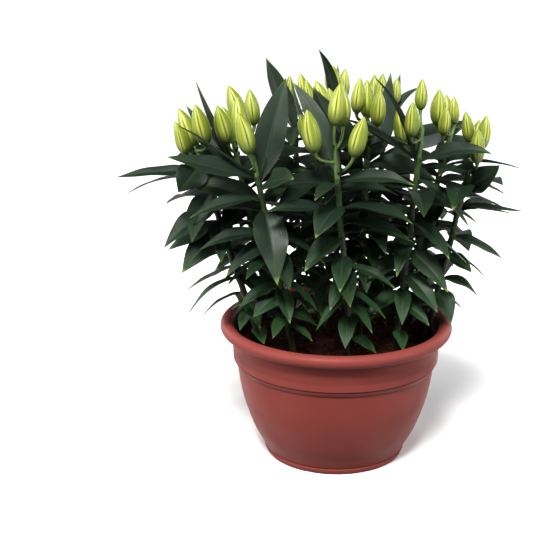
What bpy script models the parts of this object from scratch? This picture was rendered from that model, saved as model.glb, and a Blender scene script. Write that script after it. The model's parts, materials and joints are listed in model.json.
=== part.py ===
"""Potted lily: twelve leafy stems with green buds in a round terracotta-coloured bowl.

Metres, +Z up, the viewer stands at -Y. The origin is the centre of the bowl's underside.
The bowl is turned from one profile. The soil fills it and has a plain hole for each stem.
Each leafy stem is one fused solid of a stem and its leaves. Each bud cluster is one fused
solid of the pale stalk above the topmost leaf, its side stalks and its buds.
"""

import math
import random
from collections import namedtuple

import bmesh
import bpy
from mathutils import Quaternion, Vector
from mathutils.bvhtree import BVHTree
from mathutils.geometry import delaunay_2d_cdt

# Bowl
POT_HEIGHT = 0.211            # underside to the crest of the rim
RIM_RADIUS = 0.175            # outside of the rolled rim
ROLL_RADIUS = 0.0094          # of the solid bead that forms the rim
WALL = 0.003
BAND_TOP_RADIUS = 0.157       # upright band under the rim
BAND_FOOT_RADIUS = 0.1555
BAND_FOOT_HEIGHT = 0.152
SHOULDER_RADIUS = 0.1500      # where the band steps in to the bowl's body
SHOULDER_HEIGHT = 0.1445
GROOVE_HEIGHTS = (0.1425, 0.1355)
GROOVE_DEPTH = 0.0011
GROOVE_HALF_WIDTH = 0.0010
BODY = ((0.1290, 0.1477), (0.1000, 0.1429), (0.0720, 0.1349), (0.0450, 0.1248), (0.0250, 0.1141))
FOOT_HEIGHT = 0.0115
FOOT_TOP_RADIUS = 0.1080
FOOT_RADIUS = 0.1035
FLOOR_THICKNESS = 0.0065
DRAIN_COUNT = 8
DRAIN_START = math.radians(-68.0)   # first channel, from the front towards +X
DRAIN_WIDTH = 0.016
DRAIN_DEPTH = 0.0028
DRAIN_INNER_RADIUS = 0.078
DRAIN_HOLE_RADIUS = 0.005
POT_SIDES = 30
RIM_BEARINGS = (-70, -26, 18, 62, 106)   # points round the rim's bead, in degrees

# Soil
GAP = 0.0003                  # between neighbouring solids
SOIL_TOP = 0.182
SOIL_EDGE = 0.179             # where the soil meets the wall
SOIL_BUMP = 0.0022
HOLE_SIDES = 6

# Stems
STEM_DEPTH = 0.042            # below the soil's top
STEM_FOOT_RADIUS = 0.0048
STEM_HEAD_RADIUS = 0.0038
STEM_SIDES = 6
STEM_SPANS = 3
COLLAR = 0.005                # upright stretch above the soil
BARE_STEM = 0.030             # soil to the lowest leaf
TOP_LEAF_DROP = 0.006         # head to the highest leaf

# Leaves
LEAVES_PER_STEM = 27
CROWDING = 0.85               # below 1 the leaves stand closer towards the head
GOLDEN_ANGLE = math.radians(137.5)
LEAF_THICKNESS = 0.0017
LEAF_FOLD = 0.13              # rise of an edge, as a share of the blade's width
LEAF_ARCH = 0.17              # lift of the curve's middle point, as a share of its length
LEVEL_SPREAD = 0.48           # place of that point in a level leaf, as a share of its reach
LEVEL_LIFT = 0.50             # and of its rise
STEEP_SPREAD = 0.74           # the same in a steep leaf
STEEP_LIFT = 0.36
SHORT_BLADE = ((0.33, 1.00), (0.70, 0.66))   # share of the length, share of the width
MIDDLE_BLADE = ((0.20, 0.62), (0.45, 1.00), (0.77, 0.56))
LONG_BLADE = ((0.13, 0.48), (0.34, 0.98), (0.60, 0.86), (0.84, 0.42))
SHORT_BELOW = 0.118
LONG_FROM = 0.126
LEAF_CLEARANCE = 0.0013
ROOT_CLEARANCE = 0.0005       # to the bud cluster on the leaf's own stem
LEAF_PROBE_START = 0.17       # share of a leaf that may lie against its own stem

# Buds
BUD_SIDES = 6
BUD_RINGS = ((0.00, 0.34), (0.17, 0.86), (0.42, 1.00), (0.76, 0.60))
BUD_SLENDERNESS = 0.210       # greatest radius, as a share of the length
STALK_RADIUS = 0.0023
STALK_SPANS = 2
STALK_BEND = 0.45             # how far the side stalk's bend lies below the bud
RACHIS_TOP_RADIUS = 0.0029
RACHIS_REACH = 0.66           # of the height of the highest bud's foot
LOWEST_FORK = 0.006           # height of the first side stalk on the pale stalk
HIGHEST_FORK = 0.94           # and of the last, as a share of the pale stalk
RACHIS_SHORTEST = 0.014

Stem = namedtuple("Stem", "name base head")
Leaf = namedtuple("Leaf", "root azimuth reach rise width roll bow arch", defaults=(1.0, 1.0))
Bud = namedtuple("Bud", "foot tip")

# Foot of each stem on the soil (x, y) and its head, where the bud cluster starts (x, y, z)
STEMS = (
    Stem("01", (-0.113, -0.050), (-0.201, -0.030, 0.458)),
    Stem("02", (-0.095, 0.035), (-0.147, 0.000, 0.450)),
    Stem("03", (-0.066, -0.080), (-0.118, -0.100, 0.453)),
    Stem("04", (-0.052, 0.102), (-0.060, 0.130, 0.482)),
    Stem("05", (-0.020, 0.015), (-0.030, 0.000, 0.487)),
    Stem("06", (0.005, 0.112), (0.010, 0.150, 0.486)),
    Stem("07", (0.018, -0.086), (-0.008, -0.115, 0.453)),
    Stem("08", (0.035, -0.010), (0.040, -0.030, 0.487)),
    Stem("09", (0.062, 0.096), (0.078, 0.130, 0.486)),
    Stem("10", (0.086, -0.060), (0.110, -0.060, 0.470)),
    Stem("11", (0.098, 0.050), (0.161, 0.030, 0.460)),
    Stem("12", (0.138, -0.005), (0.189, -0.020, 0.449)),
)

# Buds of each stem: foot from the head (x, y, z), then foot to tip (x, y, z), in millimetres
BUDS = {
    "01": (((-17, -27, 17), (-12, -12, 44)), ((-16, -4, 16), (-19, 4, 42)),
           ((-8, 27, 18), (-23, 8, 53)), ((10, -8, 26), (-15, -4, 59))),
    "02": (((-13, -28, 34), (-15, -4, 56)), ((-3, 4, 27), (-19, 4, 54)), ((7, 33, 46), (-21, 8, 61)),
           ((24, 8, 54), (-7, 4, 52))),
    "03": (((-18, 28, 44), (-10, 6, 61)), ((-10, -12, 33), (-15, -8, 59))),
    "04": (((-13, -2, 31), (4, -2, 46)), ((17, 22, 31), (-9, 6, 45)), ((24, -12, 28), (-9, -2, 44))),
    "05": (((15, 24, 40), (-19, 4, 39)), ((24, -6, 28), (-10, -2, 46)), ((-19, -36, 4), (-8, -6, 38))),
    "06": (((-12, 20, 40), (-3, 4, 45)), ((-4, -8, 34), (-9, -4, 53)), ((3, 14, 27), (5, 4, 51))),
    "07": (((-5, -8, 75), (6, 0, 56)), ((8, 22, 68), (-4, 4, 59)), ((-31, -12, 38), (-12, -6, 60)),
           ((21, -15, 33), (13, -6, 56))),
    "08": (((-18, -14, 44), (4, -4, 50)), ((0, 18, 31), (-1, 4, 54)), ((11, -18, 26), (2, -6, 52))),
    "09": (((-18, 14, 25), (3, 4, 47)), ((-11, -8, 27), (6, -2, 50)), ((16, 10, 27), (3, 4, 40))),
    "10": (((2, 18, 65), (2, 4, 43)), ((-15, -28, 35), (0, -6, 50)), ((-21, 10, 16), (-10, 2, 51))),
    "11": (((-16, -12, 42), (1, -4, 54)), ((7, 34, 33), (-4, 6, 46)), ((11, 6, 40), (-1, 4, 41)),
           ((-10, -34, 31), (2, -6, 42))),
    "12": (((1, 18, 32), (-7, 6, 44)), ((13, 44, 16), (6, 6, 43)), ((14, 0, 24), (7, 0, 50)),
           ((4, -38, 13), (-2, -8, 50))),
}

# Leaves set by hand: height of the root in mm, bearing in degrees from +X, reach and rise of
# the tip in mm, width in mm, roll about the midrib in degrees, then bow and arch where not 1
SET_LEAVES = {
    "01": ((445, 183, 126, -7, 24, -27, 1, 0.2), (437, 156, 131, -34, 16, 2, 1, 0.7),
           (454, 239, 58, -29, 46, -32, 1, -0.2), (373, 186, 76, -42, 31, -34, 1, 0),
           (341, 202, 70, -39, 46, -36, 1, 2), (307, 165, 74, -42, 16, -18, 1, 0.1),
           (287, 197, 78, -45, 20, 4, 1, 1.6), (266, 208, 67, -23, 12, 11, 1, 1.1),
           (238, 252, 46, -15, 20, 0)),
    "02": ((441, 184, 97, 18, 40, -51, 1, 1.3), (435, 160, 68, 135, 14, -29, 0.7),
           (443, 149, 92, 87, 20, -51, 0.9, 0.7)),
    "03": ((440, 39, 48, 148, 44, 50, -0.1), (420, 197, 105, -20, 28, -22, 1, 0.8),
           (448, 189, 126, 36, 38, -30, 1, 0.3), (449, 178, 110, 78, 11, 0, 0.6),
           (368, 197, 102, -12, 27, -24, 1, 0.9), (332, 236, 71, -14, 26, 0),
           (403, 287, 62, -88, 50, 0), (437, 312, 70, 24, 42, 42), (242, 249, 54, -16, 23, 0),
           (229, 320, 46, -14, 20, 0), (286, 285, 52, -36, 27, 0)),
    "04": ((467, 201, 52, 127, 36, 38, 0.2, 1.5),),
    "05": ((466, 143, 50, 104, 17, 5, 1.2),),
    "06": ((459, 227, 72, 150, 19, 18, -1.1, 0.9), (466, 92, 51, 102, 18, 0)),
    "07": ((399, 196, 108, 14, 28, -24), (413, 227, 68, -30, 40, -10), (366, 222, 72, -34, 38, -10),
           (339, 263, 60, -36, 30, 0), (303, 240, 46, -34, 24, 0), (272, 214, 54, -36, 20, 0),
           (247, 262, 42, -36, 26, 0), (284, 331, 63, -30, 20, 0), (323, 337, 77, -24, 22, 15),
           (386, 348, 96, -12, 24, 20), (372, 8, 104, -16, 24, 20), (446, 343, 108, 6, 28, 30),
           (444, 236, 60, -10, 26, 0), (440, 140, 82, 141, 30, -50, -0.8)),
    "08": ((455, 51, 55, 127, 37, 53, 1.4, 0.9), (460, 202, 86, 112, 43, 70, 1, 0.6),
           (478, 312, 77, 19, 14, 20, 1, 1.8)),
    "09": ((453, 353, 132, 41, 38, 72, 2, -0.4), (469, 39, 78, 67, 14, 41, -1.4, 1.6),
           (463, 64, 68, 92, 18, 15, 1, 1.4)),
    "10": ((354, 249, 64, -40, 26, 0), (279, 264, 50, -41, 25, 0), (440, 337, 80, -60, 22, 20),
           (463, 343, 103, 20, 30, 30, 1, 1.5), (334, 322, 70, -48, 32, 38), (299, 318, 60, -46, 31, 27),
           (466, 204, 120, 74, 18, 30, 0.8, 1.2), (450, 214, 82, 143, 12, 14, -0.9, 0.7)),
    "11": ((438, 344, 115, 4, 20, -5, 1.1, 0.9),),
    "12": ((393, 9, 97, -14, 16, 21, 1, -0.2), (378, 28, 75, -5, 20, 44, 1, 2),
           (343, 347, 76, -30, 24, 18, 1, 0.7), (317, 305, 53, -17, 24, 22, 1, 0.2),
           (306, 20, 68, -33, 18, 11, 1, 1.7), (274, 345, 56, -20, 26, 11, 1, 1.8),
           (258, 294, 41, -41, 33, 11, 1, 1.5), (245, 24, 47, -21, 18, 26, 1, 1.1),
           (413, 330, 53, 45, 39, 64, 1, 0), (392, 343, 74, -6, 11, -4, 1, -0.2)),
}

# Leaves set last, with the same columns, where the photo's foliage has no gap
FILL_LEAVES = {
    "01": (),
    "02": ((334, 139, 58, -49, 32, 22), (431, 79, 117, 2, 49, -1)),
    "03": ((408, 155, 115, 21, 41, -36), (355, 196, 66, -45, 36, -15), (276, 208, 46, -27, 30, -34)),
    "04": ((245, 300, 60, -27, 29, -5),),
    "05": ((281, 269, 62, -50, 30, 11), (400, 130, 67, -56, 45, 29)),
    "06": (),
    "07": ((440, 166, 105, -12, 46, -17),),
    "08": ((452, 6, 104, -23, 36, 37), (326, 248, 63, -10, 35, 2)),
    "09": ((241, 286, 58, -24, 28, 32),),
    "10": ((272, 211, 66, -30, 26, -20), (253, 24, 54, -9, 30, 29)),
    "11": ((442, 45, 85, 25, 45, 38),),
    "12": (),
}

# Leaves set by rule, from the soil (0) to the head (1): share, length, width, rise over length
LEAF_RULE = (
    (0.00, 0.048, 0.0224, -0.41),
    (0.30, 0.070, 0.0285, -0.48),
    (0.55, 0.092, 0.0360, -0.42),
    (0.80, 0.110, 0.0429, -0.20),
    (1.00, 0.112, 0.0403, 0.09),
)
LEAF_SEEDS = {"01": 586, "02": 369, "03": 150, "04": 852, "05": 596, "06": 238,
              "07": 380, "08": 955, "09": 766, "10": 263, "11": 513, "12": 311}
RISE_SPREAD = 0.16
LENGTH_SPREAD = 0.10
ROLL_SPREAD = 22.0

# Changes tried in turn where a leaf would touch a neighbour: turn in degrees, lift, scale
SET_TRIES = tuple((turn, lift, scale) for scale in (1.0, 0.9, 0.8)
                  for lift in (0.0, 0.08, -0.08) for turn in (0, 6, -6, 12, -12, 20, -20))
RULE_TRIES = tuple((turn, lift, scale) for scale in (1.0, 0.85, 0.7)
                   for lift in (0.0, 0.14, -0.14) for turn in (0, 12, -12, 24, -24, 38, -38))


def blend(a, b, share):
    return a + (b - a) * share


def interpolate(rows, share):
    """Straight-line values between the rows of a table whose first column is the share."""
    for low, high in zip(rows, rows[1:]):
        if share <= high[0]:
            part = (share - low[0]) / (high[0] - low[0])
            return [blend(a, b, part) for a, b in zip(low[1:], high[1:])]
    return list(rows[-1][1:])


# Stems


def stem_point(stem, height):
    """Centre of a stem at a height: upright in the soil and its collar, then leaning."""
    start = SOIL_TOP + COLLAR
    share = max(0.0, (height - start) / (stem.head[2] - start))
    return Vector((blend(stem.base[0], stem.head[0], share),
                   blend(stem.base[1], stem.head[1], share), height))


def stem_direction(stem):
    start = SOIL_TOP + COLLAR
    return (Vector(stem.head) - stem_point(stem, start)).normalized()


def tube(points, radii, sides, tip=None):
    """Closed tube round a run of points, flat or pointed at its end, as vertices and faces."""
    vertices, faces = [], []
    for index, point in enumerate(points):
        before = points[max(index - 1, 0)]
        after = points[min(index + 1, len(points) - 1)]
        along = (after - before).normalized()
        across = (Vector((1, 0, 0)) - along * along.x).normalized()
        other = along.cross(across)
        for side in range(sides):
            angle = math.tau * side / sides
            offset = across * math.cos(angle) + other * math.sin(angle)
            vertices.append(point + offset * radii[index])
    for ring in range(len(points) - 1):
        low, high = ring * sides, (ring + 1) * sides
        for side in range(sides):
            other = (side + 1) % sides
            faces.append((low + side, low + other, high + other, high + side))
    faces.append(tuple(reversed(range(sides))))
    last = (len(points) - 1) * sides
    if tip:
        vertices.append(tip)
        for side in range(sides):
            faces.append((last + side, last + (side + 1) % sides, len(vertices) - 1))
    else:
        faces.append(tuple(range(last, last + sides)))
    return vertices, faces


def stem_tube(stem):
    """Stem from its foot in the soil to just below the bud cluster."""
    start = SOIL_TOP + COLLAR
    top = Vector(stem.head) - stem_direction(stem) * (GAP / 2)
    points = [stem_point(stem, SOIL_TOP - STEM_DEPTH)]
    radii = [STEM_FOOT_RADIUS]
    for span in range(STEM_SPANS + 1):
        share = span / STEM_SPANS
        points.append(stem_point(stem, start).lerp(top, share))
        radii.append(blend(STEM_FOOT_RADIUS, STEM_HEAD_RADIUS, share))
    return tube(points, radii, STEM_SIDES)


# Leaves


def leaf_length(leaf):
    return math.hypot(leaf.reach, leaf.rise)


def leaf_place(leaf, share):
    """Point on the midrib, its direction, and the blade's side and upper face directions.

    A level leaf arches up and droops, which its arch scales, and a steep one goes outwards
    before it rises. Its bow scales that: 0 makes it straight, and below 0 it goes up before it
    leans out.
    """
    out = Vector((math.cos(leaf.azimuth), math.sin(leaf.azimuth), 0))
    length = leaf_length(leaf)
    steep = max(0.0, leaf.rise / length)
    arch = length * LEAF_ARCH * (1 - steep) * leaf.arch
    spread = LEVEL_SPREAD + (STEEP_SPREAD - LEVEL_SPREAD) * steep * leaf.bow
    lift = LEVEL_LIFT + (STEEP_LIFT - LEVEL_LIFT) * steep * leaf.bow
    middle = out * (leaf.reach * spread) + Vector((0, 0, leaf.rise * lift + arch))
    tip = out * leaf.reach + Vector((0, 0, leaf.rise))
    point = leaf.root + middle * (2 * share * (1 - share)) + tip * share ** 2
    along = (middle * (1 - 2 * share) + tip * share).normalized()
    side = Vector((-out.y, out.x, 0))
    turn = Quaternion(along, leaf.roll * min(1.0, share * 3))
    face = along.cross(side)
    return point, along, turn @ side, turn @ face


def leaf_blade(leaf, start=0.0, grow=0.0):
    """Closed thin blade, folded along its midrib, as vertices and triangles.

    A start above 0 leaves out the root end, and grow makes every face stand out further.
    """
    length = leaf_length(leaf)
    stations = SHORT_BLADE if length < SHORT_BELOW else MIDDLE_BLADE
    if length >= LONG_FROM:
        stations = LONG_BLADE
    vertices = [leaf_place(leaf, start)[0]]
    rings = [(share, width) for share, width in stations if share > start + 0.02]
    for share, width_share in rings:
        point, _, side, face = leaf_place(leaf, share)
        width = leaf.width * width_share
        half = side * (width / 2 + grow)
        fold = face * (width * LEAF_FOLD)
        thick = face * (LEAF_THICKNESS / 2 + grow)
        vertices += [point + half + fold, point + thick, point - half + fold, point - thick]
    tip, along, _, _ = leaf_place(leaf, 1.0)
    vertices.append(tip + along * grow)
    faces = []
    for side in range(4):
        faces.append((0, 1 + side, 1 + (side + 1) % 4))
    for ring in range(len(rings) - 1):
        for edge in (0, 2):
            for mid in (1, 3):
                low_edge, low_mid = 1 + ring * 4 + edge, 1 + ring * 4 + mid
                faces.append((low_edge, low_edge + 4, low_mid + 4))
                faces.append((low_edge, low_mid + 4, low_mid))
    last = 1 + (len(rings) - 1) * 4
    for side in range(4):
        faces.append((len(vertices) - 1, last + (side + 1) % 4, last + side))
    return vertices, faces


# Bud clusters


def rachis_points(stem):
    """Pale stalk on top of a stem: it goes on along the stem and ends at the highest fork."""
    along = stem_direction(stem)
    foot = Vector(stem.head) + along * (GAP / 2)
    tallest = max(bud[0][2] for bud in BUDS[stem.name]) / 1000
    reach = max(RACHIS_SHORTEST, tallest * RACHIS_REACH)
    return [foot, foot + along * reach * 0.5, foot + along * reach]


def stem_buds(stem):
    head = Vector(stem.head)
    buds = []
    for foot, run in BUDS[stem.name]:
        foot = head + Vector(foot) / 1000
        buds.append(Bud(foot, foot + Vector(run) / 1000))
    return buds


def stalk_points(stem, index):
    """Side stalk of a bud: out of the pale stalk, then bending up to the bud's foot."""
    buds = stem_buds(stem)
    bud = buds[index]
    low, _, high = rachis_points(stem)
    order = sorted(range(len(buds)), key=lambda other: buds[other].foot.z)
    share = order.index(index) / (len(buds) - 1)
    lowest = LOWEST_FORK / (high - low).length
    start = low.lerp(high, min(HIGHEST_FORK, blend(lowest, 1.15, share)))
    axis = (bud.tip - bud.foot).normalized()
    bend = bud.foot - axis * ((bud.foot - start).length * STALK_BEND)
    points = []
    for span in range(STALK_SPANS):
        t = span / STALK_SPANS
        points.append(start * (1 - t) ** 2 + bend * (2 * t * (1 - t)) + bud.foot * t ** 2)
    return points


def bud_on_stalk(stem, index):
    """One closed body: the side stalk, then the bud, widest at its middle, with a short point."""
    bud = stem_buds(stem)[index]
    axis = bud.tip - bud.foot
    points = stalk_points(stem, index)
    radii = [STALK_RADIUS] * len(points)
    for share, width in BUD_RINGS:
        points.append(bud.foot + axis * share)
        radii.append(axis.length * BUD_SLENDERNESS * width)
    return tube(points, radii, BUD_SIDES, tip=bud.tip)


def cluster_bodies(stem):
    """The pale stalk, then each bud on its side stalk, each closed."""
    middle = blend(STEM_HEAD_RADIUS, RACHIS_TOP_RADIUS, 0.6)
    radii = [STEM_HEAD_RADIUS * 0.94, middle, RACHIS_TOP_RADIUS]
    bodies = [tube(rachis_points(stem), radii, STEM_SIDES)]
    for index in range(len(BUDS[stem.name])):
        bodies.append(bud_on_stalk(stem, index))
    return bodies


# Room between the leaves


class Room:
    """Keeps what has been placed, and tells whether a new leaf stays clear of it."""

    def __init__(self):
        self.placed = []

    def add(self, owner, body):
        """Adds a body; its owner is the stem's name and the kind of piece."""
        vertices, faces = body
        low = [min(v[axis] for v in vertices) for axis in range(3)]
        high = [max(v[axis] for v in vertices) for axis in range(3)]
        self.placed.append((owner, low, high, BVHTree.FromPolygons(vertices, faces)))

    def touches(self, body, wanted):
        """True where the body crosses a placed one whose owner is wanted."""
        vertices, faces = body
        low = [min(v[axis] for v in vertices) for axis in range(3)]
        high = [max(v[axis] for v in vertices) for axis in range(3)]
        tree = None
        for owner, other_low, other_high, other in self.placed:
            if not wanted(owner):
                continue
            if any(low[axis] > other_high[axis] or high[axis] < other_low[axis]
                   for axis in range(3)):
                continue
            tree = tree or BVHTree.FromPolygons(vertices, faces)
            if tree.overlap(other):
                return True
        return False


def clear_of_bowl(body):
    """True where every point lies over the soil inside the wall, or above the rim."""
    for point in body[0]:
        radius = math.hypot(point.x, point.y)
        inside = radius < BAND_FOOT_RADIUS - WALL - 0.006 and point.z > SOIL_TOP + 0.005
        if not inside and point.z < POT_HEIGHT + 0.004:
            return False
    return True


def place_leaf(room, stem, leaf, tries):
    """The leaf as it fits between its neighbours, or None where no try fits."""
    for turn, lift, scale in tries:
        moved = leaf._replace(azimuth=leaf.azimuth + math.radians(turn),
                              reach=leaf.reach * scale,
                              rise=(leaf.rise + lift * leaf.reach) * scale,
                              width=leaf.width * blend(1.0, scale, 0.6))
        outer = leaf_blade(moved, start=LEAF_PROBE_START, grow=LEAF_CLEARANCE)
        whole = leaf_blade(moved, grow=LEAF_CLEARANCE)
        root = leaf_blade(moved, grow=ROOT_CLEARANCE)
        if (clear_of_bowl(outer)
                and not room.touches(outer, lambda owner: owner[0] == stem.name)
                and not room.touches(whole, lambda owner: owner[0] != stem.name)
                and not room.touches(root, lambda owner: owner == (stem.name, "cluster"))):
            room.add((stem.name, "leaf"), leaf_blade(moved))
            return moved
    return None


def table_leaves(stem, table):
    leaves = []
    for height, bearing, reach, rise, width, roll, *bends in table[stem.name]:
        root = stem_point(stem, height / 1000)
        leaves.append(Leaf(root, math.radians(bearing), reach / 1000, rise / 1000,
                           width / 1000, math.radians(roll), *bends))
    return leaves


def rule_leaves(stem):
    """Leaves up the stem, a golden angle apart, without those that a set leaf stands for."""
    draw = random.Random(LEAF_SEEDS[stem.name])
    low = SOIL_TOP + BARE_STEM
    high = stem.head[2] - TOP_LEAF_DROP
    phase = draw.uniform(0, math.tau)
    leaves = []
    for index in range(LEAVES_PER_STEM):
        share = index / (LEAVES_PER_STEM - 1)
        length, width, slope = interpolate(LEAF_RULE, share)
        length *= 1 + draw.uniform(-LENGTH_SPREAD, LENGTH_SPREAD)
        slope += draw.uniform(-RISE_SPREAD, RISE_SPREAD)
        rise = length * slope
        reach = math.sqrt(length ** 2 - rise ** 2)
        azimuth = (phase + index * GOLDEN_ANGLE + draw.uniform(-0.15, 0.15)) % math.tau
        roll = math.radians(draw.uniform(-ROLL_SPREAD, ROLL_SPREAD))
        root = stem_point(stem, blend(low, high, share ** CROWDING))
        leaves.append(Leaf(root, azimuth, reach, rise, width, roll))
    for known in table_leaves(stem, SET_LEAVES):
        nearest = min(leaves, key=lambda leaf: leaf_distance(leaf, known))
        leaves.remove(nearest)
    return leaves


def leaf_distance(leaf, other):
    """How unlike two leaves of a stem are, by their height and their bearing."""
    turn = abs((leaf.azimuth - other.azimuth + math.pi) % math.tau - math.pi)
    return abs(leaf.root.z - other.root.z) / 0.012 + turn / math.radians(40)


def plan_leaves():
    """All leaves by stem: those set by hand, the others from the top down, then the fillers."""
    room = Room()
    for stem in STEMS:
        room.add((stem.name, "stem"), stem_tube(stem))
        for body in cluster_bodies(stem):
            room.add((stem.name, "cluster"), body)
    plan = {stem.name: [] for stem in STEMS}
    for stem in STEMS:
        for leaf in table_leaves(stem, SET_LEAVES):
            plan[stem.name].append(place_leaf(room, stem, leaf, SET_TRIES))
    waiting = {stem.name: sorted(rule_leaves(stem), key=lambda leaf: -leaf.root.z)
               for stem in STEMS}
    for turn in range(LEAVES_PER_STEM):
        for stem in STEMS:
            if turn < len(waiting[stem.name]):
                leaf = waiting[stem.name][turn]
                plan[stem.name].append(place_leaf(room, stem, leaf, RULE_TRIES))
    for stem in STEMS:
        for leaf in table_leaves(stem, FILL_LEAVES):
            plan[stem.name].append(place_leaf(room, stem, leaf, SET_TRIES))
    return {name: [leaf for leaf in leaves if leaf] for name, leaves in plan.items()}


# Objects


def clear_scene():
    for thing in list(bpy.data.objects):
        bpy.data.objects.remove(thing, do_unlink=True)


def make_material(name, colour, roughness):
    material = bpy.data.materials.new(name)
    material.use_nodes = True
    shader = material.node_tree.nodes["Principled BSDF"]
    shader.inputs["Base Color"].default_value = (*colour, 1.0)
    shader.inputs["Roughness"].default_value = roughness
    shader.inputs["Metallic"].default_value = 0.0
    material.diffuse_color = (*colour, 1.0)
    return material


def make_object(name, body, material, collection=None):
    vertices, faces = body
    mesh = bpy.data.meshes.new(name)
    mesh.from_pydata([tuple(v) for v in vertices], [], faces)
    shell = bmesh.new()
    shell.from_mesh(mesh)
    bmesh.ops.recalc_face_normals(shell, faces=shell.faces)
    shell.to_mesh(mesh)
    shell.free()
    mesh.materials.append(material)
    thing = bpy.data.objects.new(name, mesh)
    (collection or bpy.context.scene.collection).objects.link(thing)
    return thing


def apply_boolean(thing, bodies, operation, solver, material):
    """Joins the bodies to the thing, or cuts them out of it, and removes their objects."""
    group = bpy.data.collections.new(thing.name + "_tools")
    bpy.context.scene.collection.children.link(group)
    for index, body in enumerate(bodies):
        make_object(f"{thing.name}_tool_{index}", body, material, group)
    modifier = thing.modifiers.new("join", "BOOLEAN")
    modifier.operand_type = "COLLECTION"
    modifier.collection = group
    modifier.operation = operation
    modifier.solver = solver
    bpy.context.view_layer.update()
    depsgraph = bpy.context.evaluated_depsgraph_get()
    result = bpy.data.meshes.new_from_object(thing.evaluated_get(depsgraph))
    thing.modifiers.remove(modifier)
    old = thing.data
    thing.data = result
    result.name = thing.name
    bpy.data.meshes.remove(old)
    for tool in list(group.objects):
        bpy.data.objects.remove(tool, do_unlink=True)
    bpy.data.collections.remove(group)


def make_leafy_stem(stem, leaves, material):
    # The manifold solver joins these many crossing blades cleanly and at once.
    thing = make_object("leafy_stem_" + stem.name, stem_tube(stem), material)
    apply_boolean(thing, [leaf_blade(leaf) for leaf in leaves], "UNION", "MANIFOLD", material)
    return thing


def make_bud_cluster(stem, material):
    bodies = cluster_bodies(stem)
    thing = make_object("bud_cluster_" + stem.name, bodies[0], material)
    apply_boolean(thing, bodies[1:], "UNION", "MANIFOLD", material)
    return thing


# Bowl and soil


def turned(profile, sides):
    """Closed body turned round Z from a profile of (height, radius), flat at both ends."""
    vertices, faces = [], []
    for height, radius in profile:
        for side in range(sides):
            angle = math.tau * side / sides
            vertices.append(Vector((radius * math.cos(angle), radius * math.sin(angle), height)))
    for ring in range(len(profile) - 1):
        low, high = ring * sides, (ring + 1) * sides
        for side in range(sides):
            other = (side + 1) % sides
            faces.append((low + side, low + other, high + other, high + side))
    last = (len(profile) - 1) * sides
    faces.append(tuple(reversed(range(sides))))
    faces.append(tuple(range(last, last + sides)))
    return vertices, faces


def inner_wall(offset):
    """Inside of the bowl from its floor up, moved inwards by the offset."""
    rows = [(FLOOR_THICKNESS, FOOT_TOP_RADIUS - WALL)]
    rows += [(height, radius - WALL) for height, radius in reversed(BODY[::2])]
    rows += [(SHOULDER_HEIGHT, SHOULDER_RADIUS - WALL), (BAND_FOOT_HEIGHT, BAND_FOOT_RADIUS - WALL),
             (POT_HEIGHT - 2 * ROLL_RADIUS, BAND_TOP_RADIUS - WALL)]
    return [(height, radius - offset) for height, radius in rows]


def pot_profile():
    rows = [(0.0, FOOT_RADIUS), (FOOT_HEIGHT, FOOT_TOP_RADIUS)]
    rows += list(reversed(BODY))
    for height in reversed(GROOVE_HEIGHTS):
        radius = blend(BODY[0][1], SHOULDER_RADIUS,
                       (height - BODY[0][0]) / (SHOULDER_HEIGHT - BODY[0][0]))
        rows += [(height - GROOVE_HALF_WIDTH, radius), (height, radius - GROOVE_DEPTH),
                 (height + GROOVE_HALF_WIDTH, radius)]
    rows += [(SHOULDER_HEIGHT, SHOULDER_RADIUS), (BAND_FOOT_HEIGHT, BAND_FOOT_RADIUS)]
    centre = POT_HEIGHT - ROLL_RADIUS
    rows.append((centre - ROLL_RADIUS * 0.95, BAND_TOP_RADIUS))
    for degrees in RIM_BEARINGS:
        angle = math.radians(degrees)
        rows.append((centre + ROLL_RADIUS * math.sin(angle),
                     RIM_RADIUS - ROLL_RADIUS + ROLL_RADIUS * math.cos(angle)))
    return rows + list(reversed(inner_wall(0.0)))


def drain_bearings():
    front = -math.pi / 2
    return [front + DRAIN_START + math.tau * index / DRAIN_COUNT for index in range(DRAIN_COUNT)]


def box(centre, out, length, width, low, high):
    """Box along a level direction, as vertices and faces."""
    side = Vector((-out.y, out.x, 0))
    vertices = []
    for height in (low, high):
        for along, across in ((-1, -1), (1, -1), (1, 1), (-1, 1)):
            point = centre + out * (along * length / 2) + side * (across * width / 2)
            vertices.append(Vector((point.x, point.y, height)))
    faces = [(3, 2, 1, 0), (4, 5, 6, 7), (0, 1, 5, 4), (1, 2, 6, 5), (2, 3, 7, 6), (3, 0, 4, 7)]
    return vertices, faces


def upright_prism(centre, radius, low, high, sides):
    points = [Vector((centre[0], centre[1], height)) for height in (low, high)]
    return tube(points, [radius, radius], sides)


def make_pot(material):
    pot = make_object("pot", turned(pot_profile(), POT_SIDES), material)
    channels, holes = [], []
    outer = FOOT_TOP_RADIUS + 0.004
    for bearing in drain_bearings():
        out = Vector((math.cos(bearing), math.sin(bearing), 0))
        centre = out * ((DRAIN_INNER_RADIUS + outer) / 2)
        length = outer - DRAIN_INNER_RADIUS
        channels.append(box(centre, out, length, DRAIN_WIDTH, -0.002, DRAIN_DEPTH))
        hole = out * (DRAIN_INNER_RADIUS + DRAIN_WIDTH / 2)
        holes.append(upright_prism(hole, DRAIN_HOLE_RADIUS, -0.001, FLOOR_THICKNESS + 0.001,
                                   HOLE_SIDES))
    apply_boolean(pot, channels, "DIFFERENCE", "EXACT", material)
    apply_boolean(pot, holes, "DIFFERENCE", "EXACT", material)
    return pot


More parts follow.
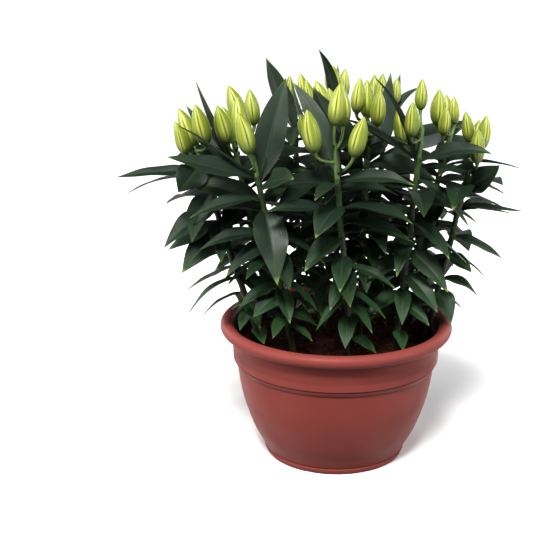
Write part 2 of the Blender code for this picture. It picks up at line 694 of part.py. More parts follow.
def soil_body():
    """Filled bowl with a lumpy top, from seeded points joined into triangles."""
    draw = random.Random(7)
    wall = [row for row in inner_wall(GAP * 1.5) if row[0] < SOIL_EDGE - 0.02]
    wall[0] = (FLOOR_THICKNESS + GAP, wall[0][1])
    edge_share = (SOIL_EDGE - BAND_FOOT_HEIGHT) / (POT_HEIGHT - 2 * ROLL_RADIUS - BAND_FOOT_HEIGHT)
    edge_radius = blend(BAND_FOOT_RADIUS, BAND_TOP_RADIUS, edge_share) - WALL - GAP * 1.5
    vertices, faces = turned(wall + [(SOIL_EDGE, edge_radius)], POT_SIDES)
    faces.pop()
    first = len(vertices) - POT_SIDES
    points = [vertex.to_2d() for vertex in vertices[first:]]
    for ring, count in ((0.124, 20), (0.088, 14), (0.050, 8), (0.014, 2)):
        for index in range(count):
            angle = math.tau * (index + draw.uniform(-0.25, 0.25)) / count
            radius = ring + draw.uniform(-0.006, 0.006)
            points.append(Vector((radius * math.cos(angle), radius * math.sin(angle))))
    flat, _, triangles, _, _, _ = delaunay_2d_cdt(points, [], [], 0, 1e-6)
    for point in flat[POT_SIDES:]:
        height = SOIL_TOP + draw.uniform(-SOIL_BUMP, SOIL_BUMP)
        vertices.append(Vector((point.x, point.y, height)))
    for triangle in triangles:
        faces.append(tuple(first + index for index in triangle))
    return vertices, faces


def make_soil(material):
    soil = make_object("soil", soil_body(), material)
    clear = STEM_FOOT_RADIUS + GAP / math.cos(math.pi / HOLE_SIDES)
    bottom = SOIL_TOP - STEM_DEPTH - GAP
    holes = [upright_prism(stem.base, clear, bottom, SOIL_TOP + 0.02, HOLE_SIDES)
             for stem in STEMS]
    apply_boolean(soil, holes, "DIFFERENCE", "EXACT", material)
    return soil


def shade(thing, degrees):
    thing.data.shade_smooth()
    thing.data.set_sharp_from_angle(angle=math.radians(degrees))


def main():
    clear_scene()
    terracotta = make_material("Terracotta plastic", (0.30, 0.078, 0.050), 0.48)
    earth = make_material("Coir soil", (0.045, 0.018, 0.012), 0.95)
    green = make_material("Leaf", (0.030, 0.065, 0.022), 0.38)
    pale = make_material("Bud", (0.42, 0.56, 0.12), 0.45)
    shade(make_pot(terracotta), 40)
    shade(make_soil(earth), 60)
    plan = plan_leaves()
    for stem in STEMS:
        shade(make_leafy_stem(stem, plan[stem.name], green), 35)
        shade(make_bud_cluster(stem, pale), 35)
    return plan


if __name__ == "__main__":
    main()
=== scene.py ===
"""Looks of the potted lily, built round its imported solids.

The first half has the plan of the part's source: sizes, stems, buds, and the leaves as its search
for room left them. The second half makes the fine surfaces that the plan carries: veined blades,
grooved buds, stems, the moulded bowl and its coir soil.
Metres, +Z up, the viewer stands at -Y.
"""

import json
import math
import random
from collections import namedtuple

import bmesh
import bpy
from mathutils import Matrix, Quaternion, Vector, noise

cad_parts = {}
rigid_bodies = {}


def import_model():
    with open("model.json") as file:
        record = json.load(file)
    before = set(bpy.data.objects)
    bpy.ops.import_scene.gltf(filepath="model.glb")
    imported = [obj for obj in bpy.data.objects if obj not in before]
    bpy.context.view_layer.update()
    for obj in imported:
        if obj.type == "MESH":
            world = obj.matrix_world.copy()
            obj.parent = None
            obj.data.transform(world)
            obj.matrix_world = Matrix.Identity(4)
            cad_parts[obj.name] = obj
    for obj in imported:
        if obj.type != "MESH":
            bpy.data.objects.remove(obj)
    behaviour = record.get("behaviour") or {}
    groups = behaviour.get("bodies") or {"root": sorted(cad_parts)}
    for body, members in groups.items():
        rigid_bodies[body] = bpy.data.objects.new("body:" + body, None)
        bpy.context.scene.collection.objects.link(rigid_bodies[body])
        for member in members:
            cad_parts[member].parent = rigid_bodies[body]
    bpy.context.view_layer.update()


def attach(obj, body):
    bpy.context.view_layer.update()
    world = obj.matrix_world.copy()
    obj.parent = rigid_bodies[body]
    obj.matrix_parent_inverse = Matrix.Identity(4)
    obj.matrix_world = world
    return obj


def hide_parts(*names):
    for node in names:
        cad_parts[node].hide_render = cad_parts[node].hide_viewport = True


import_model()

# Bowl
POT_HEIGHT = 0.211  # underside to the crest of the rim
RIM_RADIUS = 0.175  # outside of the rolled rim
ROLL_RADIUS = 0.0094  # of the solid bead that forms the rim
WALL = 0.003
BAND_TOP_RADIUS = 0.157  # upright band under the rim
BAND_FOOT_RADIUS = 0.1555
BAND_FOOT_HEIGHT = 0.152
SHOULDER_RADIUS = 0.1500  # where the band steps in to the bowl's body
SHOULDER_HEIGHT = 0.1445
BODY = ((0.1290, 0.1477), (0.1000, 0.1429), (0.0720, 0.1349), (0.0450, 0.1248),
        (0.0250, 0.1141))  # height and radius
FOOT_HEIGHT = 0.0115
FOOT_TOP_RADIUS = 0.1080
FOOT_RADIUS = 0.1035
FLOOR_THICKNESS = 0.0065
DRAIN_COUNT = 8
DRAIN_START = math.radians(-68.0)  # first channel, from the front towards +X
DRAIN_WIDTH = 0.016
DRAIN_DEPTH = 0.0028
DRAIN_INNER_RADIUS = 0.078
DRAIN_HOLE_RADIUS = 0.005

# Soil
GAP = 0.0003  # between neighbouring solids
SOIL_TOP = 0.182
SOIL_EDGE = 0.179  # where the soil meets the wall

# Stems
STEM_FOOT_RADIUS = 0.0048
STEM_HEAD_RADIUS = 0.0038
LEAN_START = SOIL_TOP + 0.005  # upright up to here, a little above the soil
BARE_STEM = 0.030  # soil to the lowest leaf
TOP_LEAF_DROP = 0.006  # head to the highest leaf

# Leaves
LEAVES_PER_STEM = 27
CROWDING = 0.85  # below 1 the leaves stand closer towards the head
GOLDEN_ANGLE = math.radians(137.5)
LEAF_FOLD = 0.13  # rise of an edge, as a share of the blade's width
LEAF_ARCH = 0.17  # lift of the curve's middle point, as a share of its length
LEVEL = (0.48, 0.50)  # place of that point in a level leaf: share of reach, of rise
STEEP = (0.74, 0.36)  # and in a steep one
ROLL_RATE = 3  # the roll is complete at a third of the length
WIDTH_FOLLOWS = 0.6  # how far the width of a leaf follows its scale

# Buds
BUD_SLENDERNESS = 0.210  # greatest radius, as a share of the length
STALK_RADIUS = 0.0023
STALK_BEND = 0.45  # how far the side stalk's bend lies below the bud
RACHIS_TOP_RADIUS = 0.0029
RACHIS_REACH = 0.66  # of the height of the highest bud's foot
LOWEST_FORK = 0.006  # height of the first side stalk on the pale stalk
HIGHEST_FORK = 0.94  # and of the last, as a share of the pale stalk
FORK_SPREAD = 1.15  # where the last would be without that limit
RACHIS_SHORTEST = 0.014

Stem = namedtuple("Stem", "name base head")
Leaf = namedtuple("Leaf", "root azimuth reach rise width roll bow arch", defaults=(1.0, 1.0))
Bud = namedtuple("Bud", "foot tip")

# Foot of each stem on the soil (x, y) and its head, where the bud cluster starts (x, y, z)
STEMS = (
    Stem("01", (-0.113, -0.050), (-0.201, -0.030, 0.458)),
    Stem("02", (-0.095, 0.035), (-0.147, 0.000, 0.450)),
    Stem("03", (-0.066, -0.080), (-0.118, -0.100, 0.453)),
    Stem("04", (-0.052, 0.102), (-0.060, 0.130, 0.482)),
    Stem("05", (-0.020, 0.015), (-0.030, 0.000, 0.487)),
    Stem("06", (0.005, 0.112), (0.010, 0.150, 0.486)),
    Stem("07", (0.018, -0.086), (-0.008, -0.115, 0.453)),
    Stem("08", (0.035, -0.010), (0.040, -0.030, 0.487)),
    Stem("09", (0.062, 0.096), (0.078, 0.130, 0.486)),
    Stem("10", (0.086, -0.060), (0.110, -0.060, 0.470)),
    Stem("11", (0.098, 0.050), (0.161, 0.030, 0.460)),
    Stem("12", (0.138, -0.005), (0.189, -0.020, 0.449)),
)

# Buds of each stem: foot from the head (x, y, z), then foot to tip (x, y, z), in millimetres
BUDS = {
    "01": (((-17, -27, 17), (-12, -12, 44)), ((-16, -4, 16), (-19, 4, 42)),
           ((-8, 27, 18), (-23, 8, 53)), ((10, -8, 26), (-15, -4, 59))),
    "02": (((-13, -28, 34), (-15, -4, 56)), ((-3, 4, 27), (-19, 4, 54)),
           ((7, 33, 46), (-21, 8, 61)), ((24, 8, 54), (-7, 4, 52))),
    "03": (((-18, 28, 44), (-10, 6, 61)), ((-10, -12, 33), (-15, -8, 59))),
    "04": (((-13, -2, 31), (4, -2, 46)), ((17, 22, 31), (-9, 6, 45)),
           ((24, -12, 28), (-9, -2, 44))),
    "05": (((15, 24, 40), (-19, 4, 39)), ((24, -6, 28), (-10, -2, 46)),
           ((-19, -36, 4), (-8, -6, 38))),
    "06": (((-12, 20, 40), (-3, 4, 45)), ((-4, -8, 34), (-9, -4, 53)), ((3, 14, 27), (5, 4, 51))),
    "07": (((-5, -8, 75), (6, 0, 56)), ((8, 22, 68), (-4, 4, 59)), ((-31, -12, 38), (-12, -6, 60)),
           ((21, -15, 33), (13, -6, 56))),
    "08": (((-18, -14, 44), (4, -4, 50)), ((0, 18, 31), (-1, 4, 54)), ((11, -18, 26), (2, -6, 52))),
    "09": (((-18, 14, 25), (3, 4, 47)), ((-11, -8, 27), (6, -2, 50)), ((16, 10, 27), (3, 4, 40))),
    "10": (((2, 18, 65), (2, 4, 43)), ((-15, -28, 35), (0, -6, 50)), ((-21, 10, 16), (-10, 2, 51))),
    "11": (((-16, -12, 42), (1, -4, 54)), ((7, 34, 33), (-4, 6, 46)), ((11, 6, 40), (-1, 4, 41)),
           ((-10, -34, 31), (2, -6, 42))),
    "12": (((1, 18, 32), (-7, 6, 44)), ((13, 44, 16), (6, 6, 43)), ((14, 0, 24), (7, 0, 50)),
           ((4, -38, 13), (-2, -8, 50))),
}

# Leaves set one by one: height of the root in mm, bearing in degrees from +X, reach and rise of
# the tip in mm, width in mm, roll about the midrib in degrees, then bow and arch where not 1
SET_LEAVES = {
    "01": ((445, 183, 126, -7, 24, -27, 1, 0.2), (437, 156, 131, -34, 16, 2, 1, 0.7),
           (454, 239, 58, -29, 46, -32, 1, -0.2), (373, 186, 76, -42, 31, -34, 1, 0),
           (341, 202, 70, -39, 46, -36, 1, 2), (307, 165, 74, -42, 16, -18, 1, 0.1),
           (287, 197, 78, -45, 20, 4, 1, 1.6), (266, 208, 67, -23, 12, 11, 1, 1.1),
           (238, 252, 46, -15, 20, 0)),
    "02": ((441, 184, 97, 18, 40, -51, 1, 1.3), (435, 160, 68, 135, 14, -29, 0.7),
           (443, 149, 92, 87, 20, -51, 0.9, 0.7)),
    "03": ((440, 39, 48, 148, 44, 50, -0.1), (420, 197, 105, -20, 28, -22, 1, 0.8),
           (448, 189, 126, 36, 38, -30, 1, 0.3), (449, 178, 110, 78, 11, 0, 0.6),
           (368, 197, 102, -12, 27, -24, 1, 0.9), (332, 236, 71, -14, 26, 0),
           (403, 287, 62, -88, 50, 0), (437, 312, 70, 24, 42, 42), (242, 249, 54, -16, 23, 0),
           (229, 320, 46, -14, 20, 0), (286, 285, 52, -36, 27, 0)),
    "04": ((467, 201, 52, 127, 36, 38, 0.2, 1.5),),
    "05": ((466, 143, 50, 104, 17, 5, 1.2),),
    "06": ((459, 227, 72, 150, 19, 18, -1.1, 0.9), (466, 92, 51, 102, 18, 0)),
    "07": ((399, 196, 108, 14, 28, -24), (413, 227, 68, -30, 40, -10), (366, 222, 72, -34, 38, -10),
           (339, 263, 60, -36, 30, 0), (303, 240, 46, -34, 24, 0), (272, 214, 54, -36, 20, 0),
           (247, 262, 42, -36, 26, 0), (284, 331, 63, -30, 20, 0), (323, 337, 77, -24, 22, 15),
           (386, 348, 96, -12, 24, 20), (372, 8, 104, -16, 24, 20), (446, 343, 108, 6, 28, 30),
           (444, 236, 60, -10, 26, 0), (440, 140, 82, 141, 30, -50, -0.8)),
    "08": ((455, 51, 55, 127, 37, 53, 1.4, 0.9), (460, 202, 86, 112, 43, 70, 1, 0.6),
           (478, 312, 77, 19, 14, 20, 1, 1.8)),
    "09": ((453, 353, 132, 41, 38, 72, 2, -0.4), (469, 39, 78, 67, 14, 41, -1.4, 1.6),
           (463, 64, 68, 92, 18, 15, 1, 1.4)),
    "10": ((354, 249, 64, -40, 26, 0), (279, 264, 50, -41, 25, 0), (440, 337, 80, -60, 22, 20),
           (463, 343, 103, 20, 30, 30, 1, 1.5), (334, 322, 70, -48, 32, 38),
           (299, 318, 60, -46, 31, 27), (466, 204, 120, 74, 18, 30, 0.8, 1.2),
           (450, 214, 82, 143, 12, 14, -0.9, 0.7)),
    "11": ((438, 344, 115, 4, 20, -5, 1.1, 0.9),),
    "12": ((393, 9, 97, -14, 16, 21, 1, -0.2), (378, 28, 75, -5, 20, 44, 1, 2),
           (343, 347, 76, -30, 24, 18, 1, 0.7), (317, 305, 53, -17, 24, 22, 1, 0.2),
           (306, 20, 68, -33, 18, 11, 1, 1.7), (274, 345, 56, -20, 26, 11, 1, 1.8),
           (258, 294, 41, -41, 33, 11, 1, 1.5), (245, 24, 47, -21, 18, 26, 1, 1.1),
           (413, 330, 53, 45, 39, 64, 1, 0), (392, 343, 74, -6, 11, -4, 1, -0.2)),
}

# Leaves set last, with the same columns, where the photo's foliage has no gap
LAST_LEAVES = {
    "02": ((334, 139, 58, -49, 32, 22), (431, 79, 117, 2, 49, -1)),
    "03": ((408, 155, 115, 21, 41, -36), (355, 196, 66, -45, 36, -15),
           (276, 208, 46, -27, 30, -34)),
    "04": ((245, 300, 60, -27, 29, -5),),
    "05": ((281, 269, 62, -50, 30, 11), (400, 130, 67, -56, 45, 29)),
    "07": ((440, 166, 105, -12, 46, -17),),
    "08": ((452, 6, 104, -23, 36, 37), (326, 248, 63, -10, 35, 2)),
    "09": ((241, 286, 58, -24, 28, 32),),
    "10": ((272, 211, 66, -30, 26, -20), (253, 24, 54, -9, 30, 29)),
    "11": ((442, 45, 85, 25, 45, 38),),
}

# Leaves set by rule, from the soil (0) to the head (1): share, length, width, rise over length
LEAF_RULE = (
    (0.00, 0.048, 0.0224, -0.41),
    (0.30, 0.070, 0.0285, -0.48),
    (0.55, 0.092, 0.0360, -0.42),
    (0.80, 0.110, 0.0429, -0.20),
    (1.00, 0.112, 0.0403, 0.09),
)
LEAF_SEEDS = {"01": 586, "02": 369, "03": 150, "04": 852, "05": 596, "06": 238,
              "07": 380, "08": 955, "09": 766, "10": 263, "11": 513, "12": 311}
RISE_SPREAD = 0.16
LENGTH_SPREAD = 0.10
ROLL_SPREAD = 22.0
TURN_SPREAD = 0.15
SAME_HEIGHT = 0.012  # differences that count as much as each other
SAME_BEARING = math.radians(40)

# Changes that the source tries in turn, until a leaf has room: turn in degrees, lift, scale
SET_TRIES = tuple((turn, lift, scale) for scale in (1.0, 0.9, 0.8)
                  for lift in (0.0, 0.08, -0.08) for turn in (0, 6, -6, 12, -12, 20, -20))
RULE_TRIES = tuple((turn, lift, scale) for scale in (1.0, 0.85, 0.7)
                   for lift in (0.0, 0.14, -0.14) for turn in (0, 12, -12, 24, -24, 38, -38))

# Number of each leaf that had no room as it was meant, and the try that found it in the source;
# -1 where none did and the leaf was left out
FOUND = {
    "01": {10: 3, 11: 2, 13: 14, 16: 6, 19: 5, 21: 3, 24: 4, 26: 3},
    "02": {8: 3, 10: 3, 13: -1, 16: 2, 21: 1},
    "03": {13: -1, 15: 35, 17: 1, 18: 1, 19: 3},
    "04": {0: 1, 5: 2, 7: 1, 10: 1, 12: -1, 14: 1, 15: 1, 20: 5, 25: 2},
    "05": {1: 3, 4: 2, 5: 1, 6: 33, 7: 2, 8: 2, 9: 5, 10: 1, 12: 2, 13: 47, 15: 3, 17: -1,
           18: 4},
    "06": {0: 3, 3: 5, 7: 3, 8: 7, 9: -1, 10: 4, 11: 2, 15: 5, 16: 3, 18: 10, 23: 4, 24: 6,
           25: 41},
    "07": {1: 3, 16: 1},
    "08": {3: 24, 5: 2, 7: 5, 9: 62, 11: -1, 12: 1, 13: 13, 15: 4, 17: 6, 18: 1, 20: 5, 24: 6},
    "09": {15: 1, 26: 3},
    "10": {10: 2, 12: 2, 16: 6, 19: 1, 25: 3},
    "11": {3: 47, 6: 3, 8: 5, 9: 20, 10: 10, 11: 16, 12: 3, 13: 1, 16: 54, 20: 1, 21: 1, 24: 4,
           26: 6},
    "12": {10: 6, 11: 1, 12: -1, 13: 5, 14: 4, 15: 18, 16: 2, 25: 3, 26: -1},
}


def blend(a, b, share):
    return a + (b - a) * share


def either_way(draw, most):
    return draw.uniform(-most, most)


def interpolate(rows, share):
    """Straight-line values between the rows of a table whose first column is the share."""
    for low, high in zip(rows, rows[1:]):
        if share <= high[0]:
            part = (share - low[0]) / (high[0] - low[0])
            return [blend(a, b, part) for a, b in zip(low[1:], high[1:])]
    return list(rows[-1][1:])


def turns(count):
    """Angles of equal steps round a circle."""
    return [math.tau * index / count for index in range(count)]


def bezier(start, bend, end, share):
    return start * (1 - share) ** 2 + bend * (2 * share * (1 - share)) + end * share ** 2


def directions_across(points, index):
    """Two directions across a run of points at one of them."""
    before = points[max(index - 1, 0)]
    after = points[min(index + 1, len(points) - 1)]
    along = (after - before).normalized()
    across = (Vector((1, 0, 0)) - along * along.x).normalized()
    return across, along.cross(across)


def loft_faces(rings, count, pointed=False):
    """Faces of a closed body of rings with count points each, with a flat end or a last point."""
    faces = []
    for ring in range(rings - 1):
        low, high = ring * count, (ring + 1) * count
        for index in range(count):
            other = (index + 1) % count
            faces.append((low + index, low + other, high + other, high + index))
    faces.append(tuple(reversed(range(count))))
    last, end = (rings - 1) * count, rings * count
    if pointed:
        faces += [(last + index, last + (index + 1) % count, end) for index in range(count)]
    else:
        faces.append(tuple(range(last, end)))
    return faces


# Stems


def stem_point(stem, height):
    """Centre of a stem at a height: upright in the soil and just above it, then leaning."""
    share = max(0.0, (height - LEAN_START) / (stem.head[2] - LEAN_START))
    return Vector((blend(stem.base[0], stem.head[0], share),
                   blend(stem.base[1], stem.head[1], share), height))


def stem_direction(stem):
    return (Vector(stem.head) - stem_point(stem, LEAN_START)).normalized()


# Leaves


def leaf_length(leaf):
    return math.hypot(leaf.reach, leaf.rise)


def leaf_place(leaf, share):
    """Point on the midrib, and the directions of the blade's side and upper face there.

    A level leaf arches up and droops, which its arch scales, and a steep one goes outwards
    before it rises. Its bow scales that: 0 makes it straight, and below 0 it goes up before it
    leans out.
    """
    out = Vector((math.cos(leaf.azimuth), math.sin(leaf.azimuth), 0))
    length = leaf_length(leaf)
    steep = max(0.0, leaf.rise / length)
    arch = length * LEAF_ARCH * (1 - steep) * leaf.arch
    spread, lift = [low + (high - low) * steep * leaf.bow for low, high in zip(LEVEL, STEEP)]
    middle = out * (leaf.reach * spread) + Vector((0, 0, leaf.rise * lift + arch))
    tip = out * leaf.reach + Vector((0, 0, leaf.rise))
    point = leaf.root + middle * (2 * share * (1 - share)) + tip * share ** 2
    along = (middle * (1 - 2 * share) + tip * share).normalized()
    side = Vector((-out.y, out.x, 0))
    turn = Quaternion(along, leaf.roll * min(1.0, share * ROLL_RATE))
    face = along.cross(side)
    return point, turn @ side, turn @ face


# Bud clusters


def rachis_ends(stem):
    """Ends of the pale stalk on a stem: it goes on along the stem, up to the highest fork."""
    along = stem_direction(stem)
    foot = Vector(stem.head) + along * (GAP / 2)
    tallest = max(bud[0][2] for bud in BUDS[stem.name]) / 1000
    reach = max(RACHIS_SHORTEST, tallest * RACHIS_REACH)
    return foot, foot + along * reach


def stem_buds(stem):
    head = Vector(stem.head)
    buds = []
    for foot, run in BUDS[stem.name]:
        foot = head + Vector(foot) / 1000
        buds.append(Bud(foot, foot + Vector(run) / 1000))
    return buds


def stalk_curve(stem, index):
    """Start, bend and end of a bud's side stalk: out of the pale stalk, then up to the bud."""
    buds = stem_buds(stem)
    bud = buds[index]
    low, high = rachis_ends(stem)
    order = sorted(range(len(buds)), key=lambda other: buds[other].foot.z)
    share = order.index(index) / (len(buds) - 1)
    lowest = LOWEST_FORK / (high - low).length
    start = low.lerp(high, min(HIGHEST_FORK, blend(lowest, FORK_SPREAD, share)))
    axis = (bud.tip - bud.foot).normalized()
    return start, bud.foot - axis * ((bud.foot - start).length * STALK_BEND), bud.foot


def table_leaves(stem, table):
    """The leaves of a stem that a table sets, where they root on it."""
    leaves = []
    for height, bearing, reach, rise, width, roll, *bends in table.get(stem.name, ()):
        root = stem_point(stem, height / 1000)
        leaves.append(Leaf(root, math.radians(bearing), reach / 1000, rise / 1000,
                           width / 1000, math.radians(roll), *bends))
    return leaves


def rule_leaves(stem):
    """Leaves up the stem, a golden angle apart, without those that a set leaf stands for."""
    draw = random.Random(LEAF_SEEDS[stem.name])
    low = SOIL_TOP + BARE_STEM
    high = stem.head[2] - TOP_LEAF_DROP
    phase = draw.uniform(0, math.tau)
    leaves = []
    for index in range(LEAVES_PER_STEM):
        share = index / (LEAVES_PER_STEM - 1)
        length, width, slope = interpolate(LEAF_RULE, share)
        length *= 1 + either_way(draw, LENGTH_SPREAD)
        slope += either_way(draw, RISE_SPREAD)
        rise = length * slope
        reach = math.sqrt(length ** 2 - rise ** 2)
        azimuth = (phase + index * GOLDEN_ANGLE + either_way(draw, TURN_SPREAD)) % math.tau
        roll = math.radians(either_way(draw, ROLL_SPREAD))
        root = stem_point(stem, blend(low, high, share ** CROWDING))
        leaves.append(Leaf(root, azimuth, reach, rise, width, roll))
    for known in table_leaves(stem, SET_LEAVES):
        leaves.remove(min(leaves, key=lambda leaf: leaf_distance(leaf, known)))
    return leaves


def leaf_distance(leaf, other):
    """How unlike two leaves of a stem are, by their height and their bearing."""
    turn = abs((leaf.azimuth - other.azimuth + math.pi) % math.tau - math.pi)
    return abs(leaf.root.z - other.root.z) / SAME_HEIGHT + turn / SAME_BEARING


def plan_leaves(stem):
    """The leaves of a stem as they found room: set one by one, from the top down, then the last."""
    by_rule = sorted(rule_leaves(stem), key=lambda leaf: -leaf.root.z)
    waiting = [(leaf, SET_TRIES) for leaf in table_leaves(stem, SET_LEAVES)]
    waiting += [(leaf, RULE_TRIES) for leaf in by_rule]
    waiting += [(leaf, SET_TRIES) for leaf in table_leaves(stem, LAST_LEAVES)]
    leaves = []
    for number, (leaf, tries) in enumerate(waiting):
        found = FOUND[stem.name].get(number, 0)
        if found >= 0:
            turn, lift, scale = tries[found]
            leaves.append(leaf._replace(azimuth=leaf.azimuth + math.radians(turn),
                                        reach=leaf.reach * scale,
                                        rise=(leaf.rise + lift * leaf.reach) * scale,
                                        width=leaf.width * blend(1.0, scale, WIDTH_FOLLOWS)))
    return leaves


# Fine leaves
LEAF_STATIONS = 20
STATION_EASE = 0.35  # how far the stations move from even steps towards the tip
LEAF_ACROSS = (-1.0, -0.82, -0.58, -0.34, -0.14, 0.0, 0.14, 0.34, 0.58, 0.82, 1.0)
OUTLINE_ROOT = 0.80  # powers of the blade's outline from the root and from the tip
OUTLINE_TIP = 1.10
OUTLINE_PEAK = 0.2822  # greatest value of that outline before it is scaled
ROOT_WIDTH = 0.20  # of the blade's greatest
ROOT_ENDS = (0.10, 0.25)  # shares of the length between which it ends, like the next ones
DROOP_STARTS = ((0.55, 1.0), (0.5, 1.0))  # multiplied
WAVE_STARTS = (0.05, 0.35)
CURL = 0.30  # how far the fold eases off towards the edges
MIDRIB_HALF = 0.15  # of the blade's half width
MIDRIB_DEPTH = 0.0005
MIDRIB_FADE = 0.7  # share of the midrib that is lost up to the tip
BLADE_THICKNESS = 0.0007
MIDRIB_THICKNESS = 0.0011  # more than the blade's, at the root
UPPER_PART = 0.35  # of the thickness, above the middle of the blade
WAVE = 0.045  # of an edge, as a share of the blade's width
WAVES = (1.3, 2.4)  # least and most along an edge
EDGE_LAG = 1.9  # between the waves of the two edges, in radians
DROOP = 0.035  # greatest of a tip, as a share of the leaf's length
BRACT_LENGTH = (0.014, 0.030)
BRACT_SLOPE = (0.35, 0.85)
BRACT_WIDTH = (0.22, 0.34)  # as a share of its length
BRACT_TURN = 0.5
BRACT_ROLL = 0.3
BRACT_DROP = 0.002  # below the fork

# Fine stems and stalks
STEM_SEGMENTS = 14
STEM_RINGS = 84
STEM_START = 0.012  # below the soil's top
STEM_WANDER = 0.0007
WANDER_RATES = (17, 13)  # radians along the stem, in x and in y
CUSHION = 0.0011  # how far a leaf's base stands out of the stem
CUSHION_HEIGHT = 0.0045
CUSHION_REACH = 0.012
STALK_RINGS = 12
STALK_SEGMENTS = 12
STALK_OVERLAP = 0.001  # of the pale stalk into the stem
STALK_GIRTH = 0.94  # of its plain radius
FORK_FLARE = 0.16  # more at its root, and below the bud
BUD_FLARE = 0.42
FORK_ENDS = (0.0, 0.25)  # shares of the length between which they end and set in
BUD_STARTS = (0.80, 1.0)

# Fine buds
TEPALS = 3
BUD_SEGMENTS = 96
BUD_PROFILE = ((0.00, 0.26), (0.02, 0.42), (0.05, 0.56), (0.10, 0.715), (0.17, 0.86),
               (0.26, 0.955), (0.36, 1.00), (0.47, 0.985), (0.57, 0.925), (0.66, 0.83),
               (0.74, 0.71), (0.81, 0.57), (0.87, 0.42), (0.92, 0.29), (0.96, 0.17), (0.985, 0.09))
BUD_BOW = 0.014  # of its length, either way
RELIEF_STARTS = (0.10, 0.30)
RELIEF_FADES = (0.85, 1.0)  # to half
SEAM_DEPTH = 0.065  # of a bud's radius, like the next two
RIB_DEPTH = 0.020
RIDGE_HEIGHT = 0.012
SEAM_WIDTH = 0.105  # sine of 1.5 times the turn from the seam, like the next three
RIB_WIDTH = 0.11  # from the rib
RIDGE_PLACE = 0.33
RIDGE_WIDTH = 0.16
VIEWER = (-0.06, -1.0, 0.3)  # where the seams look, from a bud
SEAM_SPREAD = 0.45

# Fine bowl, with (height, radius) rows and offsets
POT_SEGMENTS = 160
BODY_STEPS = 7
RIM_STEPS = 26
RIM_ARC = (-100, 118)  # from the outward direction, in degrees
RIM_STEP_IN = 5  # points from the rim to the inner wall
FOOT_EDGE = ((0.0, 0.0), (0.0004, 0.0007), (0.0012, 0.0011))
LIP_DROP = 0.0030  # from the foot's top to the line round it
LIP = ((-0.0010, 0.0007), (-0.0003, 0.0006), (0.0, 0.0001), (0.0003, -0.0010),
       (0.0009, -0.0012))
LIP_END = ((0.0015, -0.0008),)
BODY_START = ((0.0008, -0.0001),)  # from the top of the foot
RING_FOOT = (0.1437, 0.1516)  # of the narrow ring below the band
RING_FOOT_EDGE = ((-0.0012, -0.0024), (-0.0003, -0.0022), (0.0, -0.0016), (0.0001, -0.0004),
                  (0.0005, 0.0))
RING_TOP = (0.1495, 0.1534)
RING_TOP_EDGE = ((-0.0006, 0.0), (-0.0001, -0.0004), (0.0, -0.0013), (0.0011, -0.0010),
                 (0.0014, 0.0007))  # with the fine line between ring and band
BAND_EDGE = ((-0.0004, -0.0004), (0.0, 0.0))
BAND_SHARES = (0.25, 0.5, 0.75, 0.96)
UNDER_RIM = 0.0012  # how far the band turns out below the rim, and the wall inside it
UNDER_RIM_DROP = 0.97  # of the roll's radius, below the rim's centre
TURN_IN_RISE = 0.35  # and above it, inside
BOWL_SHARP = 42  # least angle of a sharp edge, in degrees
CHANNEL_STEPS = 8
CHANNEL_SIDE = 0.35  # height of its sides, as a share of its depth
CHANNEL_BELOW = 0.002  # how far its cutter reaches below the ground, and past the foot
CHANNEL_PAST = 0.004
CUT_MARGIN = 0.001
DRAIN_HOLE_SEGMENTS = 24

# Fine soil
SOIL_RINGS = 70
SOIL_SEGMENTS = 200
SOIL_CROWDING = 0.8  # below 1 the rings stand closer at the wall
SOIL_SINK = 0.0015  # of the loose surface below the soil's top
MOUNDS = ((0.0035, 22, (3.1, 0, 0)), (0.0024, 75, (0, 7.7, 0)), (0.0015, 210, (0, 0, 0)))
CRUMBS = (0.0012, 120)  # height and scale, like the first two columns of the mounds
SOIL_DIP = 0.0030  # at the wall
DIP_STARTS = (0.85, 1.0)  # shares of the soil's radius between which it sets in
STEM_ROOM = 0.001  # round a stem, where no fibre starts and no chip lies
WALL_BELOW = 0.02  # how far the soil's side ends below its edge
FIBRES = 1500
FIBRE_MARGIN = 0.004  # from the wall to where it starts
FIBRE_END = 0.002  # and to where it ends at the latest
FIBRE_SIDES = 4
FIBRE_SPANS = 6
FIBRE_STEP = (0.0012, 0.0042)
FIBRE_BEND = 0.45
FIBRE_JITTER = 0.2
FIBRE_RADIUS = (0.00014, 0.00034)
FIBRE_LIFT = 0.0020
CHIPS = 420
CHIP_SIDES = 6
CHIP_MARGIN = 0.008
CHIP_SIZE = (0.0012, 0.0042)
CHIP_SPREAD = (0.6, 1.2)  # of that size, like the next one
CHIP_CORNER = (0.7, 1.1)  # for each corner
CHIP_LENGTH = (1.0, 2.2)  # as a share of its size, like the next one
CHIP_THICKNESS = (0.25, 0.6)
CHIP_LIFT = 0.3  # of its thickness
CHIP_TILT = 0.6
CHIP_WARP = 0.1  # of its thickness
CHIP_RINGS = ((-0.5, 0.9), (0.15, 1.0), (0.5, 0.82))  # share of the thickness, of the size

SEEDS = {"bract": 900, "stem": 300, "stalk": 500, "bud": 700, "fibre": 41, "chip": 43}

